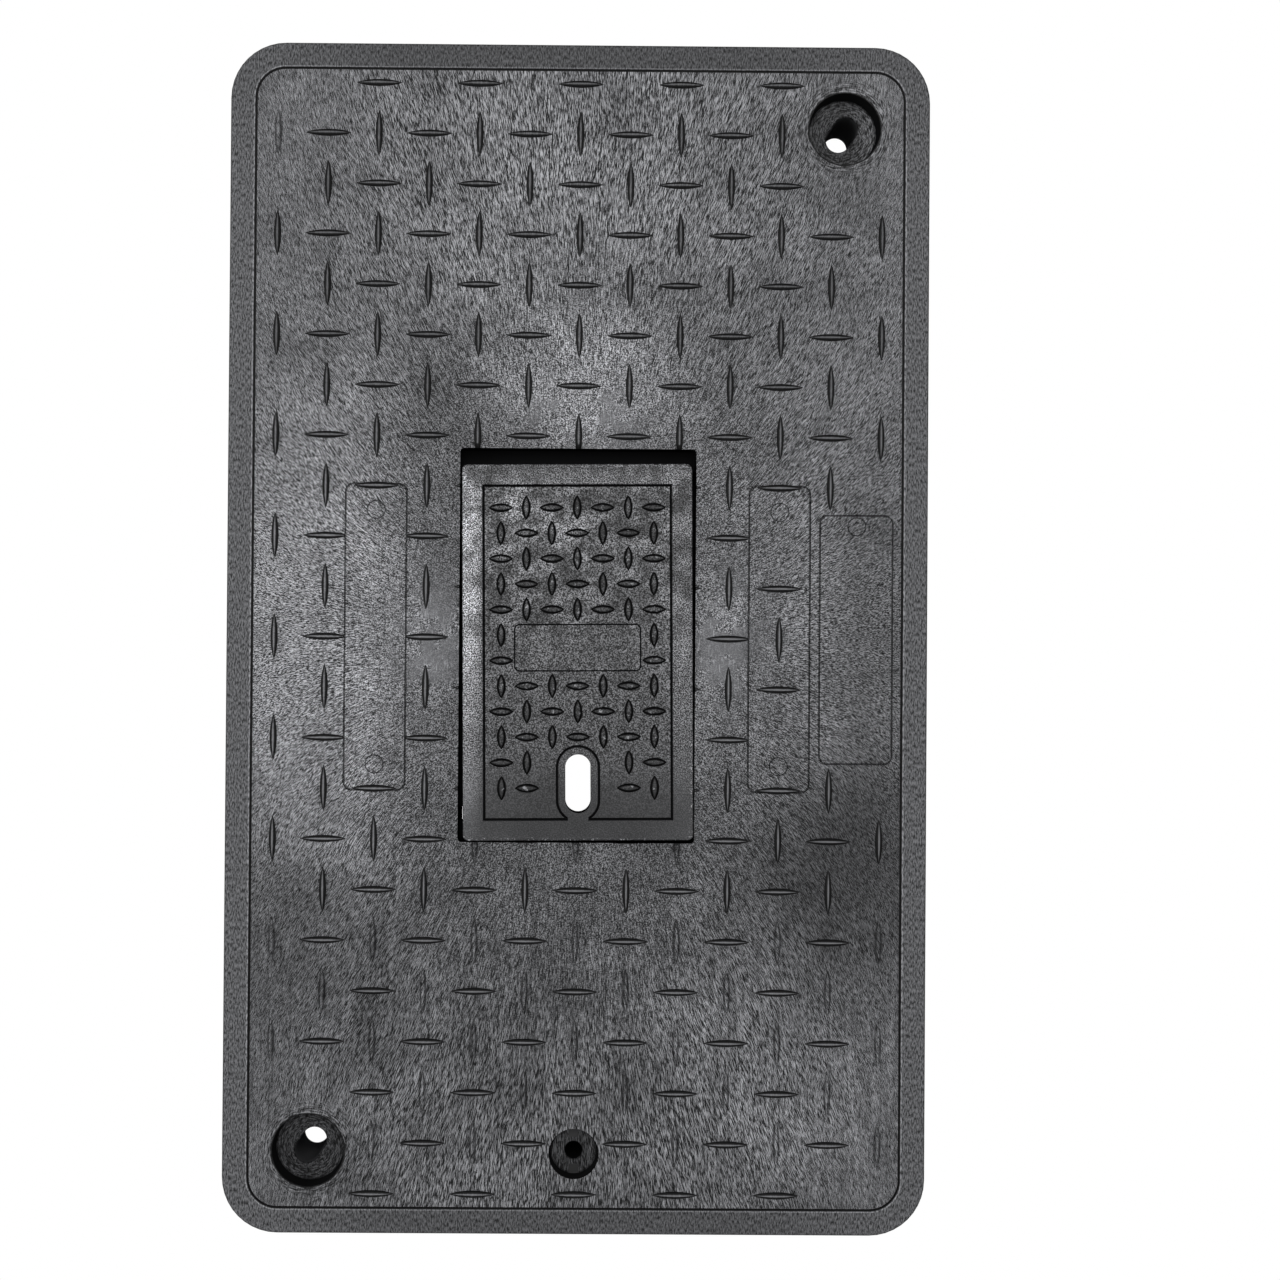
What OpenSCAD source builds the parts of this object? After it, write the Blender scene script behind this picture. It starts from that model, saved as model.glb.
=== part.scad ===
// Cover of a water meter box, laid flat with its tread side up.
// It has two pieces: a ribbed plastic cover, and a cast reader lid that lies loose in the
// cover's middle opening. The origin is the middle of the footprint, on the surface that the
// cover stands on. Z is up, and Y is the long way of the cover.
// All sizes are in millimetres.

/* [Cover] */
// Length of the cover
cover_l = 599; // [540:1:680]
// Width of the cover
cover_w = 353; // [340:1:420]
// Height from the foot of the skirt to the deck
cover_h = 50.8; // [44:0.1:70]
// Radius of the cover's four corners
corner_r = 28; // [20:1:40]
// Thickness of the deck plate
deck_t = 9; // [7:0.5:14]
// Thickness of the rim flange
flange_t = 15; // [12:0.5:22]
// How far the rim flange stands out past the skirt
flange_reach = 12.7; // [8:0.1:16]
// Bevel on the top edge of the rim
rim_bevel = 1.4; // [0.8:0.1:3]

/* [Rim groove] */
// Distance of the groove from the cover's edge
groove_inset = 12.5; // [9:0.5:15]
// Width of the groove
groove_w = 1; // [0.6:0.1:2]
// Depth of the groove
groove_deep = 1; // [0.5:0.1:2]

/* [Deck treads] */
// Distance from one tread bar to the next
tread_pitch = 25.4; // [24:0.1:34]
// Length of a tread bar
tread_l = 23; // [16:0.5:23]
// Width of a tread bar
tread_w = 3.3; // [2.6:0.1:5]
// Height of a tread bar over the deck
tread_rise = 1.45; // [0.8:0.05:1.8]
// Bare margin between a tread bar and the rim groove
tread_margin = 1; // [0.5:0.1:3]
// Bare margin round a bolt well
well_margin = 5; // [4:0.5:10]
// Bare margin round the pull hole
pull_margin = 1.5; // [1:0.5:6]

/* [Underside] */
// Thickness of the skirt
skirt_t = 6; // [4:0.5:9]
// Thickness of a rib
rib_t = 5; // [3:0.5:7]
// How far the ribs stop above the foot of the skirt
rib_lift = 6; // [2:0.5:12]
// Distance of the outer long ribs from the middle of the cover
outer_rib_x = 111.6; // [95:0.1:125]
// Number of cross ribs from the opening to each end
end_rib_n = 3; // [2:1:5]
// Number of cross ribs beside the opening
side_rib_n = 3; // [2:1:5]

/* [Reader opening] */
// Width of the opening
opening_w = 119; // [100:1:124]
// Length of the opening
opening_l = 198.4; // [180:0.1:230]
// Middle of the opening, along the cover
opening_y = -3.8; // [-12:0.1:12]
// Radius of the opening's corners
opening_r = 2; // [1:0.5:4]
// Thickness of the wall round the opening
frame_t = 6; // [4:0.5:8]
// Width of the ledge that carries the lid
ledge_w = 7.5; // [5:0.5:10]
// Thickness of the ledge
ledge_t = 6; // [4:0.5:10]
// Width of the drain notch at each end of the ledge's long sides
notch_w = 5; // [3:0.5:5]
// Length of the drain notch
notch_l = 7; // [4:0.5:12]
// Distance of the drain notch from the end of the opening
notch_inset = 10; // [8:0.5:16]

/* [Reader lid] */
// Gap between lid and opening on each long side, with the lid in the middle
lid_side_gap = 1.4; // [0.8:0.1:3]
// Gap between lid and opening at each end, with the lid in the middle
lid_end_gap = 4.3; // [2:0.1:6]
// How far the lid lies below the deck
lid_sunk = 0.5; // [0.2:0.1:2]
// Thickness of the lid at its border
lid_t = 12.7; // [10.5:0.1:20]
// Radius of the lid's corners
lid_r = 3; // [2:0.5:6]
// Width of the lid's plain border
border_w = 10.4; // [8:0.1:14]
// Depth of the tread field below the border
field_deep = 1; // [0.5:0.1:2]
// Thickness of the lid's plate under the tread field
lid_plate_t = 6; // [4:0.5:7.5]
// Width of the rim under the lid
lid_rim_w = 9; // [8:0.5:12]
// Thickness of the ribs under the lid
lid_rib_t = 4; // [3:0.5:6]
// How far the lid has slid sideways, as a share of the side gap
lid_slid_side = 0.2; // [0:0.01:0.22]
// How far the lid has slid along, as a share of the end gap
lid_slid_end = -0.78; // [-0.85:0.01:0.85]
// How far the lid has turned, as a share of the side gap
lid_turned = 0.68; // [0:0.01:0.7]

/* [Lid treads] */
// Distance from one lid tread bar to the next
lid_pitch = 12.85; // [11.5:0.05:14]
// Length of a lid tread bar
lid_tread_l = 12.3; // [8:0.1:12.8]
// Width of a lid tread bar
lid_tread_w = 4.7; // [3:0.1:5.5]
// Height of a lid tread bar
lid_tread_rise = 1.3; // [0.6:0.1:1.4]
// Middle of the lid's tread pattern, from the middle of the lid
lid_grid_y = 2.3; // [-2:0.1:4]
// Length of the bare name plate
badge_w = 64.2; // [50:0.1:70]
// Height of the bare name plate
badge_l = 24.1; // [18:0.1:25]

/* [Finger slot] */
// Width of the finger slot in the lid
slot_w = 12.8; // [10:0.1:16]
// Length of the finger slot
slot_l = 29.5; // [24:0.5:34]
// Distance of the slot's middle below the lid's middle
slot_down = 66.2; // [60:0.1:68]
// Width of the collar round the slot
collar_w = 3.7; // [2.5:0.1:5]
// Width of the neck that joins the collar to the lid's border
neck_w = 10.8; // [8:0.1:14]

/* [Bolt wells] */
// Distance of a well's middle from the side of the cover
well_side = 43.2; // [38.5:0.1:48]
// Distance of a well's middle from the end of the cover
well_end = 41.6; // [37.5:0.1:54]
// Radius of a well at its mouth
well_r = 18.1; // [14:0.1:19]
// Depth of a well
well_deep = 10.8; // [8:0.1:16]
// How much narrower the well is at its floor, in radius
well_draft = 0.8; // [0.2:0.1:1.5]
// Thickness of the wall round a well
well_wall = 8; // [7:0.5:9]
// Thickness of the well's floor
well_floor_t = 8; // [5:0.5:12]
// Width of the bolt slot in the well's floor
bolt_slot_w = 12.4; // [10:0.1:15]
// Length of the bolt slot
bolt_slot_l = 19.2; // [16:0.1:22]
// Turn of the bolt slot from the width of the cover, in degrees
bolt_slot_turn = 56; // [0:1:90]
// Thickness of the sleeve below the bolt slot
sleeve_t = 4.5; // [3:0.5:6]

/* [Pull hole] */
// Distance of the pull hole from the end of the cover
pull_end = 40.5; // [37.5:0.5:60]
// Radius of the pull hole
pull_r = 4.4; // [3:0.1:7]
// Radius of its well at the mouth
pull_well_r = 12.6; // [10:0.1:14]
// Depth of its well
pull_deep = 7.6; // [5:0.1:12]
// How much narrower that well is at its floor, in radius
pull_draft = 1.1; // [0.2:0.1:1.5]
// Thickness of the wall round that well
pull_wall = 5.5; // [4:0.5:7]
// Thickness of the sleeve round the pull hole
pull_sleeve_t = 5; // [3:0.5:7]

/* [Bare plates] */
// Half the length of the two tall plates
tall_plate_half = 77.5; // [72:0.5:84]
// Half the length of the outer plate
outer_plate_half = 63; // [60:0.5:64]
// Width of the fine line round a plate
line_w = 0.9; // [0.6:0.1:1.5]
// Depth of that line
line_deep = 0.6; // [0.3:0.1:1]
// Radius of a plate's corners
plate_r = 4.5; // [2:0.5:7]
// Radius of the round mould marks
mark_r = 4.8; // [3.5:0.1:6]

/* [Hidden] */
$fn = 48;
cut_over = 1;
bar_steps = 4;
bar_root = 0.5;
deck_z = cover_h;
plate_z = deck_z - deck_t;
flange_z = deck_z - flange_t;
skirt_w = cover_w - 2 * flange_reach;
skirt_l = cover_l - 2 * flange_reach;
skirt_r = corner_r - flange_reach;
inner_w = skirt_w - 2 * skirt_t;
inner_l = skirt_l - 2 * skirt_t;
field_w = cover_w - 2 * (groove_inset + groove_w);
field_l = cover_l - 2 * (groove_inset + groove_w);
well_x = cover_w / 2 - well_side;
well_y = cover_l / 2 - well_end;
pull_y = cover_l / 2 - pull_end;
frame_w = opening_w + 2 * frame_t;
frame_l = opening_l + 2 * frame_t;
lid_w = opening_w - 2 * lid_side_gap;
lid_l = opening_l - 2 * lid_end_gap;
lid_x = lid_slid_side * lid_side_gap;
lid_y = opening_y + lid_slid_end * lid_end_gap;
lid_turn = asin(lid_turned * lid_side_gap / (lid_l / 2));
lid_top_z = deck_z - lid_sunk;
ledge_z = lid_top_z - lid_t;
lid_field_w = lid_w - 2 * border_w;
lid_field_l = lid_l - 2 * border_w;
tread_n_x = floor((cover_w / 2) / tread_pitch);
tread_n_y = floor((cover_l / 2) / tread_pitch);
lid_n_x = floor((lid_field_w - lid_tread_l) / 2 / lid_pitch);
lid_n_y = floor((lid_field_l - lid_tread_l) / 2 / lid_pitch + 0.5);
dark = "#2b2d2f";
iron = "#222324";

// The bare plates: lowest x, highest x, half length, and the tread rows kept on each
left_plate = [-117.4, -85.8, tall_plate_half, [-3, 3]];
right_plate = [85.8, 117.4, tall_plate_half, [-3, -1, 0, 1, 3]];
outer_plate = [121.5, 159, outer_plate_half, []];
plates = [left_plate, right_plate, outer_plate];
// Mould marks, each at the middle of a plate's end
mark_y = tall_plate_half - 13.5;
marks = [[-101.6, mark_y], [-101.6, -mark_y], [101.6, mark_y], [101.6, -mark_y], [140.5, mark_y - 7]];

// A rectangle with round corners
module rounded_rect(w, l, r) {
    square([w - 2 * r, l], center = true);
    square([w, l - 2 * r], center = true);
    for (x = [-1, 1])
        for (y = [-1, 1])
            translate([x * (w / 2 - r), y * (l / 2 - r)])
                circle(r);
}

// A line of even width along the inside of a rounded rectangle
module rounded_frame(w, l, r, t) {
    difference() {
        rounded_rect(w, l, r);
        rounded_rect(w - 2 * t, l - 2 * t, max(r - t, 0.2));
    }
}

// A slot outline with round ends, its long way along Y
module slot_outline(w, l) {
    square([w, l - w], center = true);
    for (y = [-1, 1])
        translate([0, y * (l - w) / 2])
            circle(w / 2);
}

// A straight wall with a flat top, from z0 to z1
module wall(w, l, z0, z1) {
    translate([-w / 2, -l / 2, z0])
        cube([w, l, z1 - z0]);
}

// A lens-shaped tread bar along X: its outline from above, its crested section and its arched
// side view, each as a prism, and the bar is what all three have in common
module tread_bar(bar_l, bar_w, rise) {
    function half_w(k) = bar_w / 2 * (1 - pow(2 * k / bar_steps - 1, 2));
    function at(k) = bar_l * (k / bar_steps - 0.5);
    outline = [
        for (k = [0 : bar_steps]) [at(k), half_w(k)],
        for (k = [bar_steps - 1 : -1 : 1]) [at(k), -half_w(k)]
    ];
    crest = bar_w / 8;
    foot_w = bar_w / 2;
    foot_l = bar_l / 2;
    section = [[-foot_w, -bar_root], [foot_w, -bar_root], [foot_w, 0], [crest, rise], [-crest, rise], [-foot_w, 0]];
    side = [[-foot_l, -bar_root], [foot_l, -bar_root], [foot_l, 0], [foot_l / 3, rise], [-foot_l / 3, rise],
        [-foot_l, 0]];
    intersection() {
        translate([0, 0, -bar_root])
            linear_extrude(bar_root + rise)
                polygon(outline);
        rotate([90, 0, 90])
            linear_extrude(bar_l, center = true)
                polygon(section);
        rotate([90, 0, 0])
            linear_extrude(bar_w, center = true)
                polygon(side);
    }
}

// True where a point lies on a plate, and true where that plate keeps the tread row
function on_plate(p, x, y) = x > p[0] && x < p[1] && abs(y) < p[2];
function kept_on(p, j) = len([for (k = p[3]) if (k == j) k]) > 0;
// Distance from a point to a tread bar, given as half lengths along X and Y
function bar_gap(x, y, hx, hy, px, py) =
    norm([max(abs(px - x) - hx, 0), max(abs(py - y) - hy, 0)]);
// Whether the deck has a tread bar in column i, row j, counted from the middle
function bar_kept(i, j) =
    let (
        x = i * tread_pitch,
        y = j * tread_pitch,
        across = (i + j) % 2 != 0,
        hx = across ? tread_l / 2 : tread_w / 2,
        hy = across ? tread_w / 2 : tread_l / 2,
        far = well_r + well_margin
    )
    abs(x) + hx < field_w / 2 - tread_margin
    && abs(y) + hy < field_l / 2 - tread_margin
    && bar_gap(x, y, hx, hy, well_x, well_y) > far
    && bar_gap(x, y, hx, hy, -well_x, -well_y) > far
    && bar_gap(x, y, hx, hy, 0, -pull_y) > pull_well_r + pull_margin
    && !(abs(x) + hx < opening_w / 2 && abs(y - opening_y) + hy < opening_l / 2)
    && !(x > right_plate[1] && j == 0)
    && len([for (p = plates) if (on_plate(p, x, y) && !kept_on(p, j)) p]) == 0;

// One tread bar of the deck, in column i and row j
module deck_bar(i, j) {
    translate([i * tread_pitch, j * tread_pitch, deck_z])
        rotate([0, 0, (i + j) % 2 != 0 ? 0 : 90])
            tread_bar(tread_l, tread_w, tread_rise);
}

// Whether a bar that lies across the cover reaches onto a plate from beside it
function reaches(p, i, j) =
    (i + j) % 2 != 0
    && abs(j * tread_pitch) < p[2]
    && !on_plate(p, i * tread_pitch, j * tread_pitch)
    && abs(i * tread_pitch - (p[0] + p[1]) / 2) < (p[1] - p[0] + tread_l) / 2;

// All tread bars of the deck, turned by a quarter from one to the next, and each cut off where
// it would run onto a plate
module deck_treads() {
    for (i = [-tread_n_x : tread_n_x])
        for (j = [-tread_n_y : tread_n_y])
            if (bar_kept(i, j)) {
                cut_by = [for (p = plates) if (reaches(p, i, j) && !(p == right_plate && i * tread_pitch > p[1])) p];
                if (len(cut_by) == 0)
                    deck_bar(i, j);
                else
                    difference() {
                        deck_bar(i, j);
                        for (p = cut_by)
                            translate([p[0], -p[2], deck_z - bar_root - cut_over])
                                cube([p[1] - p[0], 2 * p[2], 2 * cut_over + tread_rise + bar_root]);
                    }
            }
}

// Fine line round each bare plate, and the ring of each mould mark
module fine_lines() {
    translate([0, 0, deck_z - line_deep]) {
        for (p = plates)
            translate([(p[0] + p[1]) / 2, 0, 0])
                linear_extrude(line_deep + cut_over)
                    rounded_frame(p[1] - p[0], 2 * p[2], plate_r, line_w);
        for (m = marks)
            translate([m[0], m[1], 0])
                difference() {
                    cylinder(h = line_deep + cut_over, r = mark_r);
                    translate([0, 0, -cut_over])
                        cylinder(h = line_deep + 3 * cut_over, r = mark_r - line_w / 2);
                }
    }
}

// The rim flange with the deck in it, its top edge bevelled all round
module rim_and_deck() {
    straight_h = flange_t - rim_bevel;
    post_x = cover_w / 2 - corner_r;
    post_y = cover_l / 2 - corner_r;
    translate([0, 0, flange_z])
        linear_extrude(straight_h)
            rounded_rect(cover_w, cover_l, corner_r);
    translate([0, 0, flange_z + straight_h]) {
        rotate([90, 0, 0])
            linear_extrude(2 * post_y, center = true)
                bevel_profile(cover_w);
        rotate([90, 0, 90])
            linear_extrude(2 * post_x, center = true)
                bevel_profile(cover_l);
        for (x = [-1, 1])
            for (y = [-1, 1])
                translate([x * post_x, y * post_y, 0])
                    cylinder(h = rim_bevel, r1 = corner_r, r2 = corner_r - rim_bevel);
    }
}

// The section of the bevelled layer, across the cover
module bevel_profile(w) {
    polygon([[-w / 2, 0], [w / 2, 0], [w / 2 - rim_bevel, rim_bevel], [rim_bevel - w / 2, rim_bevel]]);
}

// The hollow under the deck, inside the skirt
module underside_hollow() {
    translate([0, 0, -cut_over])
        linear_extrude(plate_z + cut_over)
            rounded_rect(inner_w, inner_l, skirt_r - skirt_t);
}

// Long ribs and cross ribs, with the frame walls of the opening among them
module ribs() {
    end_y = inner_l / 2;
    for (x = [-1, 1]) {
        translate([x * outer_rib_x, 0, 0])
            wall(rib_t, inner_l + skirt_t, rib_lift, plate_z + cut_over);
        translate([x * (opening_w + frame_t) / 2, 0, 0])
            wall(frame_t, inner_l + skirt_t, rib_lift, plate_z + cut_over);
    }
    wall(rib_t, inner_l + skirt_t, rib_lift, plate_z + cut_over);
    for (y = [-1, 1]) {
        frame_y = opening_y + y * (opening_l + frame_t) / 2;
        frame_edge = opening_y + y * frame_l / 2;
        step = (y * end_y - frame_edge) / (end_rib_n + 1);
        translate([0, frame_y, 0])
            wall(inner_w + skirt_t, frame_t, rib_lift, plate_z + cut_over);
        for (k = [1 : end_rib_n])
            translate([0, frame_edge + k * step, 0])
                wall(inner_w + skirt_t, rib_t, rib_lift, plate_z + cut_over);
    }
    for (k = [1 : side_rib_n])
        translate([0, opening_y - frame_l / 2 + k * frame_l / (side_rib_n + 1), 0])
            wall(inner_w + skirt_t, rib_t, rib_lift, plate_z + cut_over);
}

// The cup of a bolt well and the sleeve below it
module well_body() {
    cup_z = deck_z - well_deep - well_floor_t;
    translate([0, 0, cup_z])
        cylinder(h = deck_z - cup_z - cut_over, r = well_r + well_wall);
    rotate([0, 0, bolt_slot_turn - 90])
        linear_extrude(cup_z + cut_over)
            slot_outline(bolt_slot_w + 2 * sleeve_t, bolt_slot_l + 2 * sleeve_t);
}

// What is cut out for a bolt well: a tapered well, with a slot through its floor
module well_cut() {
    translate([0, 0, deck_z - well_deep])
        cylinder(h = well_deep, r1 = well_r - well_draft, r2 = well_r);
    translate([0, 0, deck_z - cut_over / 2])
        cylinder(h = 2 * cut_over + tread_rise, r = well_r);
    rotate([0, 0, bolt_slot_turn - 90])
        translate([0, 0, -cut_over])
            linear_extrude(deck_z)
                slot_outline(bolt_slot_w, bolt_slot_l);
}

// The cup and sleeve of the pull hole
module pull_body() {
    cup_z = deck_z - pull_deep - pull_wall;
    translate([0, 0, cup_z])
        cylinder(h = deck_z - cup_z - cut_over, r = pull_well_r + pull_wall);
    cylinder(h = cup_z + cut_over, r = pull_r + pull_sleeve_t);
}

// What is cut out for the pull hole
module pull_cut() {
    translate([0, 0, deck_z - pull_deep])
        cylinder(h = pull_deep, r1 = pull_well_r - pull_draft, r2 = pull_well_r);
    translate([0, 0, deck_z - cut_over / 2])
        cylinder(h = 2 * cut_over + tread_rise, r = pull_well_r);
    translate([0, 0, -cut_over])
        cylinder(h = deck_z, r = pull_r);
}

// The well shape at both bolt places, half a turn apart
module at_wells() {
    for (turn = [0, 180])
        rotate([0, 0, turn])
            translate([well_x, well_y, 0])
                children();
}

// The opening, narrowed by the ledge that carries the lid
module opening_cut() {
    translate([0, opening_y, 0]) {
        translate([0, 0, ledge_z])
            linear_extrude(deck_z - ledge_z + 2 * tread_rise)
                rounded_rect(opening_w, opening_l, opening_r);
        translate([0, 0, -cut_over])
            linear_extrude(ledge_z + 2 * cut_over)
                rounded_rect(opening_w - 2 * ledge_w, opening_l - 2 * ledge_w, opening_r);
        translate([0, 0, -cut_over])
            linear_extrude(ledge_z - ledge_t + cut_over)
                rounded_rect(opening_w, opening_l, opening_r);
        for (x = [-1, 1])
            for (y = [-1, 1])
                translate([x * (opening_w - notch_w) / 2, y * (opening_l / 2 - notch_inset - notch_l / 2), 0])
                    wall(notch_w, notch_l, ledge_z - ledge_t - cut_over, ledge_z + cut_over);
    }
}

// The ledge under the lid, before the opening is cut
module ledge_body() {
    translate([0, opening_y, ledge_z - ledge_t])
        linear_extrude(ledge_t)
            rounded_rect(opening_w + frame_t, opening_l + frame_t, opening_r + frame_t / 2);
}

// The ribbed plastic cover
module cover() {
    color(dark)
        difference() {
            union() {
                difference() {
                    union() {
                        rim_and_deck();
                        linear_extrude(flange_z + cut_over)
                            rounded_rect(skirt_w, skirt_l, skirt_r);
                    }
                    underside_hollow();
                }
                ribs();
                ledge_body();
                at_wells()
                    well_body();
                translate([0, -pull_y, 0])
                    pull_body();
                deck_treads();
            }
            opening_cut();
            at_wells()
                well_cut();
            translate([0, -pull_y, 0])
                pull_cut();
            translate([0, 0, deck_z - groove_deep])
                linear_extrude(groove_deep + cut_over)
                    rounded_frame(cover_w - 2 * groove_inset, cover_l - 2 * groove_inset,
                        corner_r - groove_inset, groove_w);
            fine_lines();
        }
}

// Whether the lid has a tread bar at a place, seen from the middle of the pattern
function lid_bar_kept(x, y, hx, hy) =
    !(abs(x) < badge_w / 2 + hx / 2 && abs(y) < badge_l / 2)
    && !(abs(x) < slot_w / 2 + collar_w + hx + 4 && y < lid_pitch - slot_down);

// The lid's tread bars, in rows of half a pitch either side of the pattern's middle
module lid_treads() {
    for (i = [-lid_n_x : lid_n_x])
        for (j = [-lid_n_y : lid_n_y - 1]) {
            x = i * lid_pitch;
            y = (j + 0.5) * lid_pitch;
            across = (i + j) % 2 == 0;
            hx = across ? lid_tread_l / 2 : lid_tread_w / 2;
            if (lid_bar_kept(x, y, hx, lid_tread_l / 2))
                translate([x, y + lid_grid_y, lid_top_z - field_deep])
                    rotate([0, 0, across ? 0 : 90])
                        tread_bar(lid_tread_l, lid_tread_w, lid_tread_rise);
        }
}

// The sunken field of the lid, kept clear of the collar round the finger slot
module field_outline() {
    difference() {
        square([lid_field_w, lid_field_l], center = true);
        translate([0, -slot_down])
            slot_outline(slot_w + 2 * collar_w, slot_l + 2 * collar_w);
        translate([-neck_w / 2, -lid_field_l / 2 - cut_over])
            square([neck_w, lid_field_l / 2 - slot_down]);
    }
}

// The hollow under the lid, with its ribs and the slot's collar left standing
module lid_hollow() {
    hollow_w = lid_w - 2 * lid_rim_w;
    hollow_l = lid_l - 2 * lid_rim_w;
    difference() {
        square([hollow_w, hollow_l], center = true);
        translate([0, -slot_down])
            slot_outline(slot_w + 2 * collar_w, slot_l + 2 * collar_w);
        for (x = [-1, 1])
            translate([x * hollow_w / 6, 0])
                square([lid_rib_t, hollow_l + cut_over], center = true);
        for (k = [-1, 0, 1])
            translate([0, k * hollow_l / 4])
                square([hollow_w + cut_over, lid_rib_t], center = true);
    }
}

// The cast reader lid, lying as it has slid and turned in the opening
module reader_lid() {
    lid_base_z = lid_top_z - lid_t;
    plate_low_z = lid_top_z - field_deep - lid_plate_t;
    color(iron)
        translate([lid_x, lid_y, 0])
            rotate([0, 0, lid_turn])
                difference() {
                    union() {
                        difference() {
                            translate([0, 0, lid_base_z])
                                linear_extrude(lid_t)
                                    rounded_rect(lid_w, lid_l, lid_r);
                            translate([0, 0, lid_top_z - field_deep])
                                linear_extrude(field_deep + cut_over)
                                    field_outline();
                            translate([0, 0, lid_base_z - cut_over])
                                linear_extrude(plate_low_z - lid_base_z + cut_over)
                                    lid_hollow();
                        }
                        lid_treads();
                    }
                    translate([0, -slot_down, lid_base_z - cut_over])
                        linear_extrude(lid_t + 4 * cut_over)
                            slot_outline(slot_w, slot_l);
                    translate([0, lid_grid_y, lid_top_z - field_deep - line_deep])
                        linear_extrude(line_deep + cut_over)
                            rounded_frame(badge_w, badge_l, 2.8, line_w);
                }
}

cover();
reader_lid();
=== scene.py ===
# %% [markdown]
# # The cover of a water meter box
# The real object is two pieces. A black plastic cover with a tread deck closes a box in the
# ground, and a small cast lid lies loose in its middle so that the meter can be read.
# The solids of both are loaded first. They are the frame that everything below has to fit.

# %% Load the frame
import math

import bmesh
import bpy
from mathutils import Matrix, Vector


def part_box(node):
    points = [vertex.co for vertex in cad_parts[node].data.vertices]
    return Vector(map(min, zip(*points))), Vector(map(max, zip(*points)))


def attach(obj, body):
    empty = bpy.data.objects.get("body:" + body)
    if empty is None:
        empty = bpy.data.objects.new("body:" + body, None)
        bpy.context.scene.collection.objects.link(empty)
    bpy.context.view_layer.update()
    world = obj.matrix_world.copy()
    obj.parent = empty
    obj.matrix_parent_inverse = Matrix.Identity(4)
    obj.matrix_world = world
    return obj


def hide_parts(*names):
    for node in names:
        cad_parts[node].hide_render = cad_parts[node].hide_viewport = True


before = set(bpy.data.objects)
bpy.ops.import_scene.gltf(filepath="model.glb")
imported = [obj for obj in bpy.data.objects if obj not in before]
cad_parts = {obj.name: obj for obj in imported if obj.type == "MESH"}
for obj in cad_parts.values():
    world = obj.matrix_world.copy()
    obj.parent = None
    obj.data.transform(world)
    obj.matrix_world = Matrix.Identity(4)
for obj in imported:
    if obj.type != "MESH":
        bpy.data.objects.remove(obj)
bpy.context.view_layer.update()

cover_lo, cover_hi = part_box("cover")
lid_lo, lid_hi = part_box("reader_lid")
MM = 0.001
print("cover", [round(v / MM, 1) for v in cover_hi - cover_lo], "mm")
print("lid", [round(v / MM, 1) for v in lid_hi - lid_lo], "mm")

# %% [markdown]
# ## Sizes
# A moulding is easiest to follow as a few driving sizes. The outline comes from the frame, and
# the rest are the sizes of the cover in millimetres.

# %% The cover's sizes
cover_w = cover_hi.x - cover_lo.x
cover_l = cover_hi.y - cover_lo.y
corner_r, least_corner_r = 28 * MM, 2 * MM
tread_rise = 1.45 * MM
deck_z = cover_hi.z - tread_rise
deck_t = 9 * MM
flange_t = 15 * MM
flange_reach = 12.7 * MM
skirt_t = 6 * MM
plate_z = deck_z - deck_t
rim_round = 1.4 * MM
soft = 0.5 * MM
groove_inset = 12.5 * MM
groove_w = 1.0 * MM
groove_deep = 1.0 * MM
groove_lip, groove_slope = 0.2 * MM, 0.1 * MM
rib_t = 5 * MM
rib_lift = 6 * MM
outer_rib_x = 111.6 * MM
end_rib_n = 3
side_rib_n = 3

# %% The opening, the wells and the bare plates
opening_w, opening_l, opening_y, opening_r = 119 * MM, 198.4 * MM, -3.8 * MM, 2 * MM
frame_t = 6 * MM
ledge_w, ledge_t = 7.5 * MM, 6 * MM
well_at = (133.3 * MM, 257.9 * MM)
well_r, well_deep, well_draft = 18.1 * MM, 10.8 * MM, 0.8 * MM
well_wall, well_floor_t = 8 * MM, 8 * MM
bolt_slot_w, bolt_slot_l, bolt_slot_turn = 12.4 * MM, 19.2 * MM, math.radians(56)
sleeve_t = 4.5 * MM
pull_at = (0.0, -259 * MM)
pull_r, pull_well_r, pull_deep, pull_draft = 4.4 * MM, 12.6 * MM, 7.6 * MM, 1.1 * MM
pull_wall, pull_sleeve_t = 5.5 * MM, 5 * MM
tall_half, outer_half = 77.5 * MM, 63 * MM
line_deep, plate_r, mark_r = 0.6 * MM, 4.5 * MM, 4.8 * MM
# Each plate: lowest x, highest x, half length, and the tread rows that it keeps
plates = (
    (-117.4 * MM, -85.8 * MM, tall_half, (-3, 3)),
    (85.8 * MM, 117.4 * MM, tall_half, (-3, -1, 0, 1, 3)),
    (121.5 * MM, 159 * MM, outer_half, ()),
)
# The mould marks, from the middle and from the plates' ends
mark_x, mark_in, lone_mark_x, lone_mark_in = 101.6 * MM, 13.5 * MM, 140.5 * MM, 20.5 * MM
# Where each fine line turns down and up, in millimetres from its outer edge
plate_turns, mark_turns, badge_turns = (0, 0.25, 0.65, 0.9), (0, 0.15, 0.35, 0.5), (0, 0.2, 0.55, 0.75)

# %% The tread
pitch = 25.4 * MM
bar_l, bar_w, bar_foot = 23 * MM, 3.3 * MM, 0.4 * MM
well_margin, pull_margin = 5 * MM, 1.5 * MM
faint_foot_y = -130 * MM
knife_half, knife_right, knife_reach = 70 * MM, 90 * MM, 10 * MM
lid_pitch, lid_half_cols, lid_half_rows = 12.85 * MM, 3, 6
lid_bar_l, lid_bar_w, lid_bar_rise = 12.3 * MM, 4.7 * MM, 1.3 * MM
badge_margin, lid_slot_half = 1.5 * MM, 20 * MM

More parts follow.
